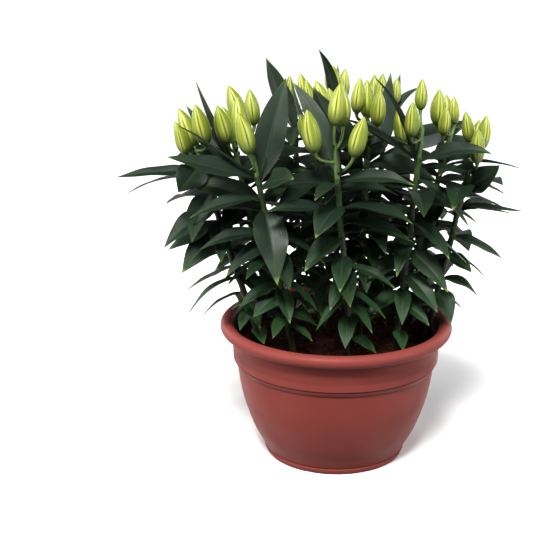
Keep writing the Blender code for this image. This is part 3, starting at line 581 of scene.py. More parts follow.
# Lights and camera
CAMERA_PLACE = (-0.105, -1.8, 0.835)
CAMERA_PITCH = 0.2932  # below the horizon, in radians
FOCAL_PIXELS = 1255.0  # focal length in pixels of a picture 533 pixels wide
PICTURE_WIDTH = 533.0
SENSOR_WIDTH = 36.0
CLIP = (0.05, 60.0)
GAMMA = 0.84
SKY_SEEN = 0.84  # added to the sky's light where the camera sees it
SKY_LIGHT = 0.14
FLOOR_REACH = 40.0
SUN = ((-0.20, -0.93, 1.28), 0.26, 4.1)  # direction, angle, strength
LAMPS = (  # name, place, height of its target, size, power, colour
    ("left", (-2.1, -0.9, 1.25), 0.25, 1.2, 44.0, (1.0, 0.985, 0.96)),
    ("right", (2.1, -0.9, 1.15), 0.25, 1.2, 36.0, (0.97, 0.985, 1.0)),
    ("back_left", (-1.7, 1.6, 0.85), 0.3, 1.4, 20.0, (1.0, 1.0, 1.0)),
    ("back_right", (1.7, 1.6, 0.85), 0.3, 1.4, 20.0, (1.0, 1.0, 1.0)),
)


def add_object(name, data):
    thing = bpy.data.objects.new(name, data)
    bpy.context.scene.collection.objects.link(thing)
    return thing


def new_mesh(name, points, faces):
    mesh = bpy.data.meshes.new(name)
    mesh.from_pydata([tuple(point) for point in points], [], faces)
    return mesh


def turn_outwards(mesh):
    """Makes all faces of a closed mesh look outwards."""
    shell = bmesh.new()
    shell.from_mesh(mesh)
    bmesh.ops.recalc_face_normals(shell, faces=shell.faces)
    shell.to_mesh(mesh)
    shell.free()


class Surface:
    """Collects points, faces and per-point values of one mesh."""

    def __init__(self):
        self.points = []
        self.faces = []
        self.values = {}

    def add(self, points, faces, **values):
        """Appends a body; values are lists with one entry for each of its points."""
        first = len(self.points)
        self.points += points
        self.faces += [tuple(first + index for index in face) for face in faces]
        for name, entries in values.items():
            self.values.setdefault(name, []).extend(entries)

    def add_tube(self, *shape):
        spots, faces, places = fine_tube(*shape)
        self.add(spots, faces, stalk=places)

    def build(self, name, material, sharp=50):
        """The finished object, with sharp edges from the given angle in degrees."""
        mesh = new_mesh(name, self.points, self.faces)
        mesh.materials.append(material)
        for key, entries in self.values.items():
            layer = mesh.attributes.new(key, "FLOAT_VECTOR", "POINT")
            layer.data.foreach_set("vector", [number for entry in entries for number in entry])
        mesh.shade_smooth()
        mesh.set_sharp_from_angle(angle=math.radians(sharp))
        return add_object(name, mesh)


def dress(piece, node):
    """The piece rides on the pot's body and stands for its node, which it hides."""
    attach(piece, "root")
    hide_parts(node)


def smooth(low, high, value):
    share = min(1.0, max(0.0, (value - low) / (high - low)))
    return share * share * (3 - 2 * share)


# Leaf pieces


def outline(share):
    """Width of a blade as a share of its greatest: narrow at the root, drawn out at the tip."""
    shape = share ** OUTLINE_ROOT * (1 - share) ** OUTLINE_TIP / OUTLINE_PEAK
    return max(shape, ROOT_WIDTH * (1 - smooth(*ROOT_ENDS, share)))


def fine_leaf(leaf, seed):
    """Closed blade with a channelled midrib and waved edges, with where each point lies on it."""
    draw = random.Random(seed)
    waves = draw.uniform(*WAVES)
    phase = draw.uniform(0, math.tau)
    tone = draw.random()
    droop = draw.uniform(0.0, DROOP) * leaf_length(leaf)
    points, places, sides = [], [], []
    for station in range(LEAF_STATIONS):
        share = station / LEAF_STATIONS
        share = blend(share, math.sin(share * math.pi / 2), STATION_EASE)
        point, side, face = leaf_place(leaf, share)
        width = leaf.width * outline(share)
        sink = droop * math.prod(smooth(*starts, share) for starts in DROOP_STARTS)
        point = point - Vector((0, 0, sink))
        upper, lower = [], []
        for across in LEAF_ACROSS:
            away = abs(across)
            height = width * LEAF_FOLD * ((1 + CURL) * away - CURL * away ** 2)
            lag = EDGE_LAG if across > 0 else 0.0
            ripple = math.sin(math.tau * waves * share + phase + lag)
            height += width * WAVE * away ** 2 * ripple * smooth(*WAVE_STARTS, share)
            rib = math.exp(-(away / MIDRIB_HALF) ** 2) * (1 - MIDRIB_FADE * share)
            height -= MIDRIB_DEPTH * rib
            thickness = (BLADE_THICKNESS + MIDRIB_THICKNESS * rib) * (1 - away ** 6)
            spot = point + side * (across * width / 2) + face * height
            upper.append((spot + face * (thickness * UPPER_PART), across, 0.0))
            lower.append((spot - face * (thickness * (1 - UPPER_PART)), across, 1.0))
        for spot, across, under in upper + lower[-2:0:-1]:
            points.append(spot)
            places.append((across, share, tone))
            sides.append((under, 0.0, 0.0))
    points.append(leaf_place(leaf, 1.0)[0] - Vector((0, 0, droop)))
    places.append((0.0, 1.0, tone))
    sides.append((0.5, 0.0, 0.0))
    return points, loft_faces(LEAF_STATIONS, 2 * len(LEAF_ACROSS) - 2, True), places, sides


def fork_bracts(stem):
    """A small leaf below each side stalk, by a seeded rule."""
    draw = random.Random(SEEDS["bract"] + int(stem.name))
    bracts = []
    for index in range(len(BUDS[stem.name])):
        start, bend, _ = stalk_curve(stem, index)
        out = bend - start
        azimuth = math.atan2(out.y, out.x) + either_way(draw, BRACT_TURN)
        length = draw.uniform(*BRACT_LENGTH)
        rise = length * draw.uniform(*BRACT_SLOPE)
        reach = math.sqrt(length ** 2 - rise ** 2)
        root = start - Vector((0, 0, BRACT_DROP))
        bracts.append(Leaf(root, azimuth, reach, rise, length * draw.uniform(*BRACT_WIDTH),
                           either_way(draw, BRACT_ROLL)))
    return bracts


def make_leaves(stem, leaves, material):
    surface = Surface()
    for index, leaf in enumerate(leaves + fork_bracts(stem)):
        points, faces, places, sides = fine_leaf(leaf, 1000 * int(stem.name) + index)
        surface.add(points, faces, leaf=places, side=sides)
    dress(surface.build("leaves_" + stem.name, material), "leafy_stem_" + stem.name)


# Stem and stalk pieces


def fine_tube(points, radii, segments, tone=0.0, cushion_at=None):
    """Round closed tube, and the cushion, the share of its length and the tone at each point."""
    spots, places = [], []
    for index, point in enumerate(points):
        across, other = directions_across(points, index)
        for angle in turns(segments):
            out = across * math.cos(angle) + other * math.sin(angle)
            cushion = cushion_at(point, out) if cushion_at else 0.0
            spots.append(point + out * (radii[index] + CUSHION * cushion))
            places.append((cushion, index / (len(points) - 1), tone))
    return spots, loft_faces(len(points), segments), places


def make_stem(stem, leaves, material):
    """Stem with a slight wander and a cushion on the side where each leaf leaves it."""
    draw = random.Random(SEEDS["stem"] + int(stem.name))
    phase = draw.uniform(0, math.tau)
    tone = draw.random()
    points, radii = [], []
    for ring in range(STEM_RINGS + 1):
        share = ring / STEM_RINGS
        wander = Vector((math.sin(share * WANDER_RATES[0] + phase),
                         math.cos(share * WANDER_RATES[1] + phase), 0))
        centre = stem_point(stem, blend(SOIL_TOP - STEM_START, stem.head[2], share))
        points.append(centre + wander * (STEM_WANDER * math.sin(math.pi * share)))
        radii.append(blend(STEM_FOOT_RADIUS, STEM_HEAD_RADIUS, share))

    def cushion_at(point, out):
        cushion = 0.0
        for leaf in leaves:
            above = leaf.root.z - point.z
            if abs(above) < CUSHION_REACH:
                facing = out.x * math.cos(leaf.azimuth) + out.y * math.sin(leaf.azimuth)
                cushion += max(0.0, facing) ** 2 * math.exp(-(above / CUSHION_HEIGHT) ** 2)
        return min(1.0, cushion)

    surface = Surface()
    surface.add_tube(points, radii, STEM_SEGMENTS, tone, cushion_at)
    dress(surface.build("stem_" + stem.name, material), "leafy_stem_" + stem.name)


def make_stalks(stem, material):
    """The pale stalk on top of a stem and the side stalks that carry its buds."""
    draw = random.Random(SEEDS["stalk"] + int(stem.name))
    shares = [ring / STALK_RINGS for ring in range(STALK_RINGS + 1)]
    low, high = rachis_ends(stem)
    points = [low.lerp(high, share) for share in shares]
    points[0] = points[0] - stem_direction(stem) * STALK_OVERLAP
    runs = [(points, [blend(STEM_HEAD_RADIUS, RACHIS_TOP_RADIUS, share) for share in shares])]
    flares = [FORK_FLARE * (1 - smooth(*FORK_ENDS, share)) + BUD_FLARE * smooth(*BUD_STARTS, share)
              for share in shares]
    for index in range(len(BUDS[stem.name])):
        curve = stalk_curve(stem, index)
        runs.append(([bezier(*curve, share) for share in shares],
                     [STALK_RADIUS * (STALK_GIRTH + flare) for flare in flares]))
    surface = Surface()
    for points, radii in runs:
        surface.add_tube(points, radii, STALK_SEGMENTS, draw.random())
    dress(surface.build("bud_stalks_" + stem.name, material), "bud_cluster_" + stem.name)


# Bud pieces


def seam_turn(along, across, other, draw):
    """Turn about the bud's axis that puts a seam to the front, give or take a little."""
    front = Vector(VIEWER)
    front -= along * front.dot(along)
    facing = math.atan2(front.dot(other), front.dot(across))
    return facing + either_way(draw, SEAM_SPREAD) + math.tau / TEPALS * draw.randrange(TEPALS)


def fine_bud(bud, seed):
    """Closed bud of three wrapped tepals: seams between them, and a rib along each."""
    draw = random.Random(seed)
    axis = bud.tip - bud.foot
    along = axis.normalized()
    across, other = directions_across([bud.foot, bud.tip], 0)
    turn = seam_turn(along, across, other, draw)
    tone = draw.random()
    bow = either_way(draw, BUD_BOW) * axis.length
    greatest = axis.length * BUD_SLENDERNESS
    points, places, skins = [], [], []
    for share, width in BUD_PROFILE:
        centre = bud.foot + axis * share + across * (bow * math.sin(math.pi * share))
        deep = smooth(*RELIEF_STARTS, share) * (1 - 0.5 * smooth(*RELIEF_FADES, share))
        for angle in turns(BUD_SEGMENTS):
            around = TEPALS / 2 * (angle - turn)
            seam_away, rib_away = abs(math.sin(around)), abs(math.cos(around))
            seam = math.exp(-(seam_away / SEAM_WIDTH) ** 2) * deep
            ridge = math.exp(-((seam_away - RIDGE_PLACE) / RIDGE_WIDTH) ** 2) * deep
            rib = math.exp(-(rib_away / RIB_WIDTH) ** 2) * deep
            relief = 1 + RIDGE_HEIGHT * ridge - SEAM_DEPTH * seam - RIB_DEPTH * rib
            out = across * math.cos(angle) + other * math.sin(angle)
            points.append(centre + out * (greatest * width * relief))
            places.append((seam, share, tone))
            skins.append((math.cos(angle - turn), math.sin(angle - turn), ridge - rib))
    points.append(bud.tip)
    places.append((0.0, 1.0, tone))
    skins.append((0.0, 0.0, 0.0))
    return points, loft_faces(len(BUD_PROFILE), BUD_SEGMENTS, True), places, skins


def make_buds(stem, material):
    surface = Surface()
    for index, bud in enumerate(stem_buds(stem)):
        seed = SEEDS["bud"] + 10 * int(stem.name) + index
        points, faces, places, skins = fine_bud(bud, seed)
        surface.add(points, faces, bud=places, skin=skins)
    piece = surface.build("buds_" + stem.name, material, sharp=75)
    dress(piece, "bud_cluster_" + stem.name)


# Bowl piece


def turned(profile, segments):
    """Points of a turned body from (height, radius) rows."""
    return [Vector((radius * math.cos(angle), radius * math.sin(angle), height))
            for height, radius in profile for angle in turns(segments)]


def curved(rows, steps):
    """Smooth curve through rows of (height, radius), as Catmull-Rom points."""
    made = []
    padded = [rows[0]] + list(rows) + [rows[-1]]
    for a, b, c, d in zip(padded, padded[1:], padded[2:], padded[3:]):
        for step in range(steps):
            t = step / steps
            made.append(tuple(0.5 * (2 * b[k] + (c[k] - a[k]) * t
                                     + (2 * a[k] - 5 * b[k] + 4 * c[k] - d[k]) * t ** 2
                                     + (3 * b[k] - a[k] - 3 * c[k] + d[k]) * t ** 3)
                              for k in range(2)))
    made.append(rows[-1])
    return made


def moved_rows(height, radius, offsets):
    return [(height + up, radius + out) for up, out in offsets]


def inner_wall(offset):
    """Inside of the bowl from its floor up, moved inwards by the offset."""
    rows = [(FLOOR_THICKNESS, FOOT_TOP_RADIUS), *reversed(BODY[::2]),
            (SHOULDER_HEIGHT, SHOULDER_RADIUS), (BAND_FOOT_HEIGHT, BAND_FOOT_RADIUS),
            (POT_HEIGHT - 2 * ROLL_RADIUS, BAND_TOP_RADIUS)]
    return [(height, radius - WALL - offset) for height, radius in rows]


def pot_profile():
    """Outside from the foot up, over the rolled rim, and down the inside."""
    lip = FOOT_HEIGHT - LIP_DROP
    edge = FOOT_RADIUS + (FOOT_TOP_RADIUS - FOOT_RADIUS) / FOOT_HEIGHT * lip
    rows = moved_rows(0.0, FOOT_RADIUS, FOOT_EDGE) + moved_rows(lip, edge, LIP)
    rows += curved(moved_rows(lip, edge, LIP_END)
                   + moved_rows(FOOT_HEIGHT, FOOT_TOP_RADIUS, BODY_START)
                   + list(reversed(BODY)), BODY_STEPS)
    rows += moved_rows(*RING_FOOT, RING_FOOT_EDGE) + moved_rows(*RING_TOP, RING_TOP_EDGE)
    rows += moved_rows(BAND_FOOT_HEIGHT, BAND_FOOT_RADIUS, BAND_EDGE)
    centre = POT_HEIGHT - ROLL_RADIUS
    rows += [(blend(BAND_FOOT_HEIGHT, centre - ROLL_RADIUS, share),
              blend(BAND_FOOT_RADIUS, BAND_TOP_RADIUS, share)) for share in BAND_SHARES]
    rows.append((centre - ROLL_RADIUS * UNDER_RIM_DROP, BAND_TOP_RADIUS + UNDER_RIM))
    for step in range(RIM_STEPS + 1):
        angle = math.radians(blend(*RIM_ARC, step / RIM_STEPS))
        rows.append((centre + ROLL_RADIUS * math.sin(angle),
                     RIM_RADIUS - ROLL_RADIUS + ROLL_RADIUS * math.cos(angle)))
    inner = inner_wall(0.0)[::-1]
    turn_in = (centre + ROLL_RADIUS * TURN_IN_RISE, inner[0][1] + UNDER_RIM)
    return rows + curved([rows[-1], turn_in, inner[0]], RIM_STEP_IN)[1:] + inner[1:]


def cut(piece, bodies):
    """Cuts closed bodies out of a piece, and removes their objects."""
    group = bpy.data.collections.new(piece.name + "_cutters")
    bpy.context.scene.collection.children.link(group)
    for points, faces in bodies:
        mesh = new_mesh("cutter", points, faces)
        turn_outwards(mesh)
        group.objects.link(bpy.data.objects.new("cutter", mesh))
    modifier = piece.modifiers.new("cut", "BOOLEAN")
    modifier.operand_type = "COLLECTION"
    modifier.collection = group
    modifier.operation = "DIFFERENCE"
    modifier.solver = "EXACT"
    bpy.context.view_layer.update()
    depsgraph = bpy.context.evaluated_depsgraph_get()
    result = bpy.data.meshes.new_from_object(piece.evaluated_get(depsgraph))
    piece.modifiers.remove(modifier)
    piece.data = result
    for thing in list(group.objects):
        bpy.data.objects.remove(thing, do_unlink=True)
    bpy.data.collections.remove(group)


def channel(out, inner, outer):
    """Round-topped drain channel across the foot, as a closed bar along a level direction."""
    side = Vector((-out.y, out.x, 0))
    half = DRAIN_WIDTH / 2
    arch = []
    for step in range(CHANNEL_STEPS + 1):
        angle = math.pi * step / CHANNEL_STEPS
        rise = blend(CHANNEL_SIDE, 1.0, math.sin(angle))
        arch.append((math.cos(angle) * half, DRAIN_DEPTH * rise))
    arch += [(-half, -CHANNEL_BELOW), (half, -CHANNEL_BELOW)]
    points = [out * reach + side * across + Vector((0, 0, height))
              for reach in (inner, outer) for across, height in arch]
    return points, loft_faces(2, len(arch))


def make_pot(material):
    profile = pot_profile()
    surface = Surface()
    surface.add(turned(profile, POT_SEGMENTS), loft_faces(len(profile), POT_SEGMENTS))
    piece = surface.build("bowl", material)
    turn_outwards(piece.data)
    bodies = []
    for turn in turns(DRAIN_COUNT):
        bearing = turn + DRAIN_START - math.pi / 2
        out = Vector((math.cos(bearing), math.sin(bearing), 0))
        bodies.append(channel(out, DRAIN_INNER_RADIUS, FOOT_TOP_RADIUS + CHANNEL_PAST))
        hole = out * (DRAIN_INNER_RADIUS + DRAIN_WIDTH / 2)
        ends = [hole - Vector((0, 0, CUT_MARGIN)),
                hole + Vector((0, 0, FLOOR_THICKNESS + CUT_MARGIN))]
        bodies.append(fine_tube(ends, [DRAIN_HOLE_RADIUS] * 2, DRAIN_HOLE_SEGMENTS)[:2])
    cut(piece, bodies)
    piece.data.shade_smooth()
    piece.data.set_sharp_from_angle(angle=math.radians(BOWL_SHARP))
    dress(piece, "pot")


# Soil pieces


def soil_edge():
    """Radius of the soil where it meets the wall."""
    share = (SOIL_EDGE - BAND_FOOT_HEIGHT) / (POT_HEIGHT - 2 * ROLL_RADIUS - BAND_FOOT_HEIGHT)
    return blend(BAND_FOOT_RADIUS, BAND_TOP_RADIUS, share) - WALL - GAP


def soil_height(x, y):
    """Lumpy surface: broad mounds, clods and crumbs, a little lower at the wall."""
    spot = Vector((x, y, 0.0))
    height = SOIL_TOP - SOIL_SINK
    for amount, scale, shift in MOUNDS:
        height += amount * noise.noise(spot * scale + Vector(shift))
    height += CRUMBS[0] * (0.5 - noise.voronoi(spot * CRUMBS[1])[0][0])
    return height - SOIL_DIP * smooth(*DIP_STARTS, math.hypot(x, y) / soil_edge())


def make_soil(material):
    """Filling of the bowl: its side from the floor up, then its top from the wall inwards."""
    side = [row for row in inner_wall(GAP * 1.5) if row[0] < SOIL_EDGE - WALL_BELOW]
    side[0] = (FLOOR_THICKNESS + GAP, side[0][1])
    rings = [(0.0, soil_edge() * (ring / SOIL_RINGS) ** SOIL_CROWDING)
             for ring in range(SOIL_RINGS, 0, -1)]
    top = turned(rings, SOIL_SEGMENTS) + [Vector((0, 0, 0))]
    for point in top:
        point.z = soil_height(point.x, point.y)
    surface = Surface()
    surface.add(turned(side, SOIL_SEGMENTS) + top,
                loft_faces(len(side + rings), SOIL_SEGMENTS, True))
    dress(surface.build("soil_bed", material, sharp=180), "soil")


def free_spot(draw, margin):
    """A place on the soil that no stem takes."""
    while True:
        radius = (soil_edge() - margin) * math.sqrt(draw.random())
        angle = draw.uniform(0, math.tau)
        x, y = radius * math.cos(angle), radius * math.sin(angle)
        if all(math.hypot(x - stem.base[0], y - stem.base[1]) > STEM_FOOT_RADIUS + STEM_ROOM
               for stem in STEMS):
            return x, y


def make_fibres(material):
    """Coir fibres that lie in loose curls on the soil."""
    draw = random.Random(SEEDS["fibre"])
    surface = Surface()
    for _ in range(FIBRES):
        x, y = free_spot(draw, FIBRE_MARGIN)
        heading = draw.uniform(0, math.tau)
        step = draw.uniform(*FIBRE_STEP)
        bend = either_way(draw, FIBRE_BEND)
        radius = draw.uniform(*FIBRE_RADIUS)
        lift = draw.uniform(0.0, FIBRE_LIFT)
        points = []
        for index in range(FIBRE_SPANS + 1):
            if math.hypot(x, y) > soil_edge() - FIBRE_END:
                break
            rise = lift * math.sin(math.pi * index / FIBRE_SPANS) + radius
            points.append(Vector((x, y, soil_height(x, y) + rise)))
            heading += bend + either_way(draw, FIBRE_JITTER)
            x += step * math.cos(heading)
            y += step * math.sin(heading)
        if len(points) > 2:
            surface.add_tube(points, [radius] * len(points), FIBRE_SIDES, draw.random())
    dress(surface.build("coir_fibres", material, sharp=180), "soil")


def make_chips(material):
    """Flat crumbs of bark, each a tilted six-sided slab with uneven corners."""
    draw = random.Random(SEEDS["chip"])
    surface = Surface()
    for _ in range(CHIPS):
        x, y = free_spot(draw, CHIP_MARGIN)
        size = draw.uniform(*CHIP_SIZE) * draw.uniform(*CHIP_SPREAD)
        long = draw.uniform(*CHIP_LENGTH)
        thick = size * draw.uniform(*CHIP_THICKNESS)
        axis = (either_way(draw, 1), either_way(draw, 1), 0.01)
        tilt = Quaternion(axis, draw.uniform(0, CHIP_TILT))
        turn = Quaternion((0, 0, 1), draw.uniform(0, math.tau))
        middle = Vector((x, y, soil_height(x, y) + thick * CHIP_LIFT))
        corners = [(size * long * math.cos(angle) * draw.uniform(*CHIP_CORNER),
                    size * math.sin(angle) * draw.uniform(*CHIP_CORNER))
                   for angle in turns(CHIP_SIDES)]
        spots = []
        for height, share in CHIP_RINGS:
            for a, b in corners:
                rise = thick * (height + either_way(draw, CHIP_WARP))
                spots.append(middle + tilt @ (turn @ Vector((a * share, b * share, rise))))
        places = [(0.0, 0.5, draw.random())] * len(spots)
        surface.add(spots, loft_faces(len(CHIP_RINGS), CHIP_SIDES), stalk=places)
    dress(surface.build("bark_chips", material, sharp=30), "soil")


# Materials


def node(tree, kind, inputs=None, **settings):
    """A new node; inputs maps a socket's name or number to a value or to another socket."""
    made = tree.nodes.new("ShaderNode" + kind)
    for key, value in settings.items():
        setattr(made, key, value)
    for key, value in (inputs or {}).items():
        if isinstance(value, bpy.types.NodeSocket):
            tree.links.new(value, made.inputs[key])
        else:
            made.inputs[key].default_value = value
    return made


class Skin:
    """A material being made: its colour so far, and short words for the nodes it needs."""

    def __init__(self, name, colour, roughness, **values):
        """Sets what is the same all over; values are named as sockets, with _ for a space."""
        self.material = bpy.data.materials.new(name)
        self.material.use_nodes = True
        self.tree = self.material.node_tree
        self.shader = self.tree.nodes["Principled BSDF"]
        values.update(Base_Color=(*colour, 1.0), Roughness=roughness)
        for key, value in values.items():
            self.shader.inputs[key.replace("_", " ")].default_value = value
        self.place = self.node("TexCoord").outputs["Object"]
        self.height = self.numbers(self.place)[2]
        self.colour = None

    def node(self, kind, inputs=None, **settings):
        return node(self.tree, kind, inputs, **settings)

    def attribute(self, name):
        return self.node("Attribute", attribute_name=name).outputs["Vector"]

    def numbers(self, vector):
        """The three numbers of a vector."""
        return self.node("SeparateXYZ", {"Vector": vector}).outputs[:3]

    def maths(self, operation, *values):
        return self.node("Math", dict(enumerate(values)), operation=operation).outputs[0]

    def sum(self, first, second, factor):
        """The first value and a multiple of the second."""
        return self.maths("MULTIPLY_ADD", second, factor, first)

    def waves(self, value, rate):
        return self.maths("SINE", self.maths("MULTIPLY", value, rate))

    def vector(self, operation, *vectors, output="Vector"):
        made = self.node("VectorMath", dict(enumerate(vectors)), operation=operation)
        return made.outputs[output]

    def flattened(self, height):
        """The place with its height scaled."""
        return self.vector("MULTIPLY", self.place, (1.0, 1.0, height))

    def grade(self, value, low, high, start=0.0, end=1.0):
        """Eases a value between two limits into the range from start to end."""
        inputs = {"Value": value, "From Min": low, "From Max": high, "To Min": start, "To Max": end}
        return self.node("MapRange", inputs, interpolation_type="SMOOTHSTEP").outputs["Result"]

    def clouds(self, scale, detail=3.0, roughness=0.55, vector=None):
        inputs = {"Vector": self.place if vector is None else vector, "Scale": scale,
                  "Detail": detail, "Roughness": roughness}
        return self.node("TexNoise", inputs).outputs["Fac"]

    def mixed(self, share, first, second):
        """Colour between two; each may be a socket or a tuple of three."""
        first, second = [(*colour, 1.0) if isinstance(colour, tuple) else colour
                         for colour in (first, second)]
        inputs = {"Factor": share, 6: first, 7: second}
        return self.node("Mix", inputs, data_type="RGBA").outputs[2]

    def mix_in(self, share, towards):
        self.colour = self.mixed(share, self.colour, towards)

    def tint(self, value, low, high, towards, end=1.0, start=0.0):
        """Mixes a colour in, by a value that is eased from start to end between two limits."""
        self.mix_in(self.grade(value, low, high, start, end), towards)

    def link(self, socket, name):
        self.tree.links.new(socket, self.shader.inputs[name])

    def bump(self, relief, strength, distance, **before):
        """Relief, over an earlier one where that is given as Normal."""
        inputs = {"Height": relief, "Strength": strength, "Distance": distance, **before}
        return self.node("Bump", inputs).outputs["Normal"]

    def finish(self, *relief, **before):
        """Links the colour and the relief."""
        self.link(self.colour, "Base Color")
        self.link(self.bump(*relief, **before), "Normal")
        return self.material


def leaf_material():
    skin = Skin("Lily leaf", (0.03, 0.06, 0.02), 0.36, Specular_IOR_Level=0.34, Coat_Weight=0.06,
                Coat_Roughness=0.34)
    across, along, tone = skin.numbers(skin.attribute("leaf"))
    under = skin.numbers(skin.attribute("side"))[0]
    away = skin.maths("ABSOLUTE", across)
    mottle = skin.clouds(55.0)
    veins = skin.maths("MULTIPLY", skin.waves(across, 44.0), 0.7)
    veins = skin.sum(veins, skin.waves(across, 118.0), 0.3)
    ripe = skin.grade(tone, 0.15, 0.85, 0.08, 0.80)
    skin.colour = skin.mixed(tone, (0.008, 0.020, 0.011), (0.017, 0.036, 0.017))
    skin.tint(mottle, 0.35, 0.7, (0.013, 0.028, 0.019))
    # painted light: leaves higher up are mixed towards a lighter grey-green, where more light falls
    # on them
    skin.tint(skin.height, 0.43, 0.58, (0.056, 0.078, 0.056), 0.75)
    skin.tint(skin.height, 0.22, 0.36, (0.022, 0.078, 0.016), 0.0, 0.55)
    skin.tint(along, 0.60, 1.0, (0.045, 0.095, 0.024), 0.32)
    skin.tint(veins, 0.2, 1.0, (0.060, 0.095, 0.048), 0.20)
    skin.tint(away, 0.015, 0.065, (0.075, 0.125, 0.040), 0.0, 0.35)
    skin.tint(away, 0.955, 1.0, (0.110, 0.160, 0.045), 0.22)
    skin.tint(along, 0.90, 0.985, (0.260, 0.360, 0.070), ripe)
    skin.mix_in(under, skin.mixed(0.40, skin.colour, (0.036, 0.056, 0.034)))
    skin.link(skin.sum(skin.grade(mottle, 0.3, 0.75, 0.40, 0.52), under, 0.16), "Roughness")
    return skin.finish(skin.sum(veins, skin.clouds(320.0), 0.8), 0.24, 0.0005)


def stem_material():
    skin = Skin("Lily stem", (0.06, 0.11, 0.035), 0.45, Specular_IOR_Level=0.30)
    cushion, along, _ = skin.numbers(skin.attribute("stalk"))
    streak = skin.clouds(620.0, 4.0, vector=skin.flattened(0.12))
    share = skin.grade(streak, 0.35, 0.7)
    skin.colour = skin.mixed(share, (0.012, 0.018, 0.009), (0.030, 0.040, 0.018))
    high = skin.mixed(share, (0.038, 0.072, 0.020), (0.078, 0.130, 0.034))
    skin.tint(along, 0.40, 1.0, high)
    skin.mix_in(skin.maths("MULTIPLY", cushion, 0.5), (0.110, 0.160, 0.040))
    skin.tint(skin.clouds(900.0, 2.0), 0.56, 0.70, (0.030, 0.022, 0.014), 0.55)
    return skin.finish(streak, 0.5, 0.0008)


def stalk_material():
    skin = Skin("Bud stalk", (0.16, 0.26, 0.08), 0.42, Subsurface_Weight=0.10,
                Subsurface_Radius=(0.6, 0.8, 0.2), Subsurface_Scale=0.003)
    along = skin.numbers(skin.attribute("stalk"))[1]
    streak = skin.clouds(700.0, 4.0, vector=skin.flattened(0.15))
    skin.colour = skin.mixed(skin.grade(streak, 0.35, 0.7), (0.095, 0.165, 0.045),
                             (0.165, 0.255, 0.080))
    skin.tint(along, 0.7, 1.0, (0.180, 0.260, 0.055), 0.6)
    return skin.finish(streak, 0.35, 0.0005)


def bud_material():
    skin = Skin("Lily bud", (0.42, 0.52, 0.12), 0.38, Subsurface_Weight=0.25,
                Subsurface_Radius=(0.8, 0.8, 0.25), Subsurface_Scale=0.006, Coat_Weight=0.15,
                Coat_Roughness=0.30)
    seam, along, tone = skin.numbers(skin.attribute("bud"))
    turn = skin.attribute("skin")
    ridge = skin.numbers(turn)[2]
    drawn_out = skin.node("CombineXYZ", {"X": skin.maths("MULTIPLY", along, 0.35),
                                         "Y": skin.maths("MULTIPLY", tone, 9.0)}).outputs[0]
    streak = skin.clouds(8.0, 4.0, 0.6, skin.vector("ADD", turn, drawn_out))
    flank = skin.mixed(tone, (0.250, 0.310, 0.028), (0.360, 0.405, 0.044))
    pale = skin.mixed(tone, (0.560, 0.590, 0.120), (0.690, 0.690, 0.190))
    skin.colour = skin.mixed(skin.grade(ridge, -0.10, 0.75), flank, pale)
    skin.tint(streak, 0.42, 0.62, (0.230, 0.310, 0.040), 0.52)
    skin.tint(ridge, -0.85, -0.25, (0.130, 0.170, 0.022), 0.0, 0.68)
    skin.tint(along, 0.04, 0.46, (0.110, 0.155, 0.024), 0.0, 0.88)
    skin.tint(along, 0.86, 1.0, (0.300, 0.360, 0.060), 0.35)
    skin.tint(seam, 0.34, 0.88, (0.085, 0.085, 0.014), 0.92)
    return skin.finish(skin.sum(streak, skin.clouds(700.0), 0.4), 0.30, 0.0005)


def pot_material():
    skin = Skin("Moulded terracotta plastic", (0.25, 0.050, 0.034), 0.44, Specular_IOR_Level=0.26)
    grain = skin.clouds(900.0, 2.0)
    foot = skin.grade(skin.height, 0.0, 0.035, 0.30, 0.0)
    radius = skin.vector("LENGTH", skin.flattened(0.0), output="Value")
    # painted shade: mask of the inner wall above the soil, where the rim and the leaves cast shade
    inside = skin.grade(radius, BAND_TOP_RADIUS - 0.0020, BAND_TOP_RADIUS - 0.0006, 0.88, 0.0)
    skin.colour = skin.mixed(skin.grade(skin.clouds(9.0, 4.0), 0.3, 0.7), (0.240, 0.054, 0.045),
                             (0.266, 0.062, 0.051))
    skin.tint(grain, 0.55, 0.75, (0.320, 0.090, 0.070), 0.25)
    skin.tint(skin.clouds(38.0, 5.0), 0.40, 0.65, (0.190, 0.080, 0.060), foot)
    # painted shade: darkens that inner wall above the soil
    skin.tint(skin.height, 0.160, 0.165, (0.030, 0.010, 0.008), inside)
    skin.link(skin.grade(skin.clouds(26.0, 4.0), 0.3, 0.7, 0.46, 0.58), "Roughness")
    fine = skin.bump(grain, 0.22, 0.0004)
    return skin.finish(skin.clouds(60.0, 2.0), 0.05, 0.0010, Normal=fine)


def soil_material():
    skin = Skin("Coir and bark soil", (0.045, 0.018, 0.012), 0.95, Specular_IOR_Level=0.10)
    crumbs = skin.clouds(260.0, 6.0, 0.7)
    skin.colour = skin.mixed(skin.grade(crumbs, 0.35, 0.65), (0.004, 0.0015, 0.001),
                             (0.046, 0.010, 0.005))
    skin.tint(skin.clouds(24.0), 0.40, 0.62, (0.011, 0.004, 0.003), 0.6)
    return skin.finish(crumbs, 0.9, 0.0020)


def fibre_material(name, dark, pale):
    """Shared by the coir and the bark, each with its own two colours."""
    skin = Skin(name, pale, 0.85, Specular_IOR_Level=0.15)
    cloud = skin.clouds(700.0)
    skin.colour = skin.mixed(skin.numbers(skin.attribute("stalk"))[2], dark, pale)
    skin.tint(cloud, 0.4, 0.7, dark, 0.5)
    return skin.finish(cloud, 0.4, 0.0006)


def floor_material():
    skin = Skin("Pale floor", (0.88, 0.88, 0.88), 0.85, Specular_IOR_Level=0.15)
    tint = skin.mixed(skin.clouds(14.0), (0.87, 0.87, 0.87), (0.90, 0.90, 0.90))
    skin.link(tint, "Base Color")
    return skin.material


# Studio


def make_floor():
    corners = [(x * FLOOR_REACH, y * FLOOR_REACH, 0)
               for x, y in ((-1, -1), (1, -1), (1, 1), (-1, 1))]
    floor = add_object("floor", new_mesh("floor", corners, [(0, 1, 2, 3)]))
    floor.data.materials.append(floor_material())
    floor.visible_diffuse = False


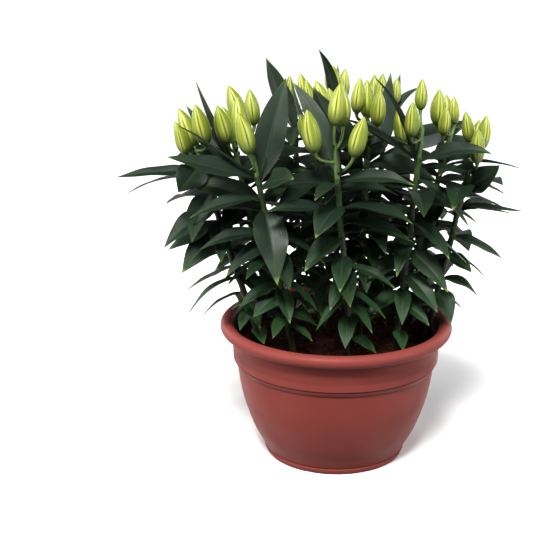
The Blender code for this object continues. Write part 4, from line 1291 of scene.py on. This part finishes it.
def add_light(name, kind, energy, direction):
    """A light that shines from the direction, given as a vector towards it."""
    light = bpy.data.lights.new(name, kind)
    light.energy = energy
    lamp = add_object(name, light)
    lamp.rotation_mode = "QUATERNION"
    lamp.rotation_quaternion = Vector(direction).to_track_quat("Z", "Y")
    return lamp


def make_studio():
    scene = bpy.context.scene
    scene.world = bpy.data.worlds.new("studio")
    scene.world.use_nodes = True
    tree = scene.world.node_tree
    back = tree.nodes["Background"]
    back.inputs["Color"].default_value = (1.0, 1.0, 1.0, 1.0)
    seen = node(tree, "LightPath").outputs["Is Camera Ray"]
    sky = node(tree, "Math", {0: seen, 1: SKY_SEEN, 2: SKY_LIGHT}, operation="MULTIPLY_ADD")
    tree.links.new(sky.outputs[0], back.inputs["Strength"])
    direction, angle, strength = SUN
    add_light("top", "SUN", strength, direction).data.angle = angle
    for name, place, height, size, power, colour in LAMPS:
        lamp = add_light(name, "AREA", power, Vector(place) - Vector((0, 0, height)))
        lamp.location = place
        lamp.data.shape = "DISK"
        lamp.data.size = size
        lamp.data.color = colour
    scene.view_settings.view_transform = "Standard"
    scene.view_settings.look = "None"
    scene.view_settings.exposure = 0.0
    scene.view_settings.gamma = GAMMA


def make_camera():
    camera = bpy.data.cameras.new("camera")
    camera.sensor_width = SENSOR_WIDTH
    camera.lens = FOCAL_PIXELS / PICTURE_WIDTH * SENSOR_WIDTH
    camera.clip_start, camera.clip_end = CLIP
    viewer = add_object("camera", camera)
    viewer.location = CAMERA_PLACE
    viewer.rotation_euler = (math.pi / 2 - CAMERA_PITCH, 0.0, 0.0)
    bpy.context.scene.camera = viewer


def main():
    make_camera()
    make_studio()
    make_floor()
    make_pot(pot_material())
    make_soil(soil_material())
    make_fibres(fibre_material("Coir fibre", (0.018, 0.006, 0.004), (0.160, 0.045, 0.020)))
    make_chips(fibre_material("Bark crumb", (0.007, 0.003, 0.002), (0.042, 0.014, 0.008)))
    leaf, stem_skin = leaf_material(), stem_material()
    stalk, bud = stalk_material(), bud_material()
    for stem in STEMS:
        leaves = plan_leaves(stem)
        make_leaves(stem, leaves, leaf)
        make_stem(stem, leaves, stem_skin)
        make_stalks(stem, stalk)
        make_buds(stem, bud)


main()
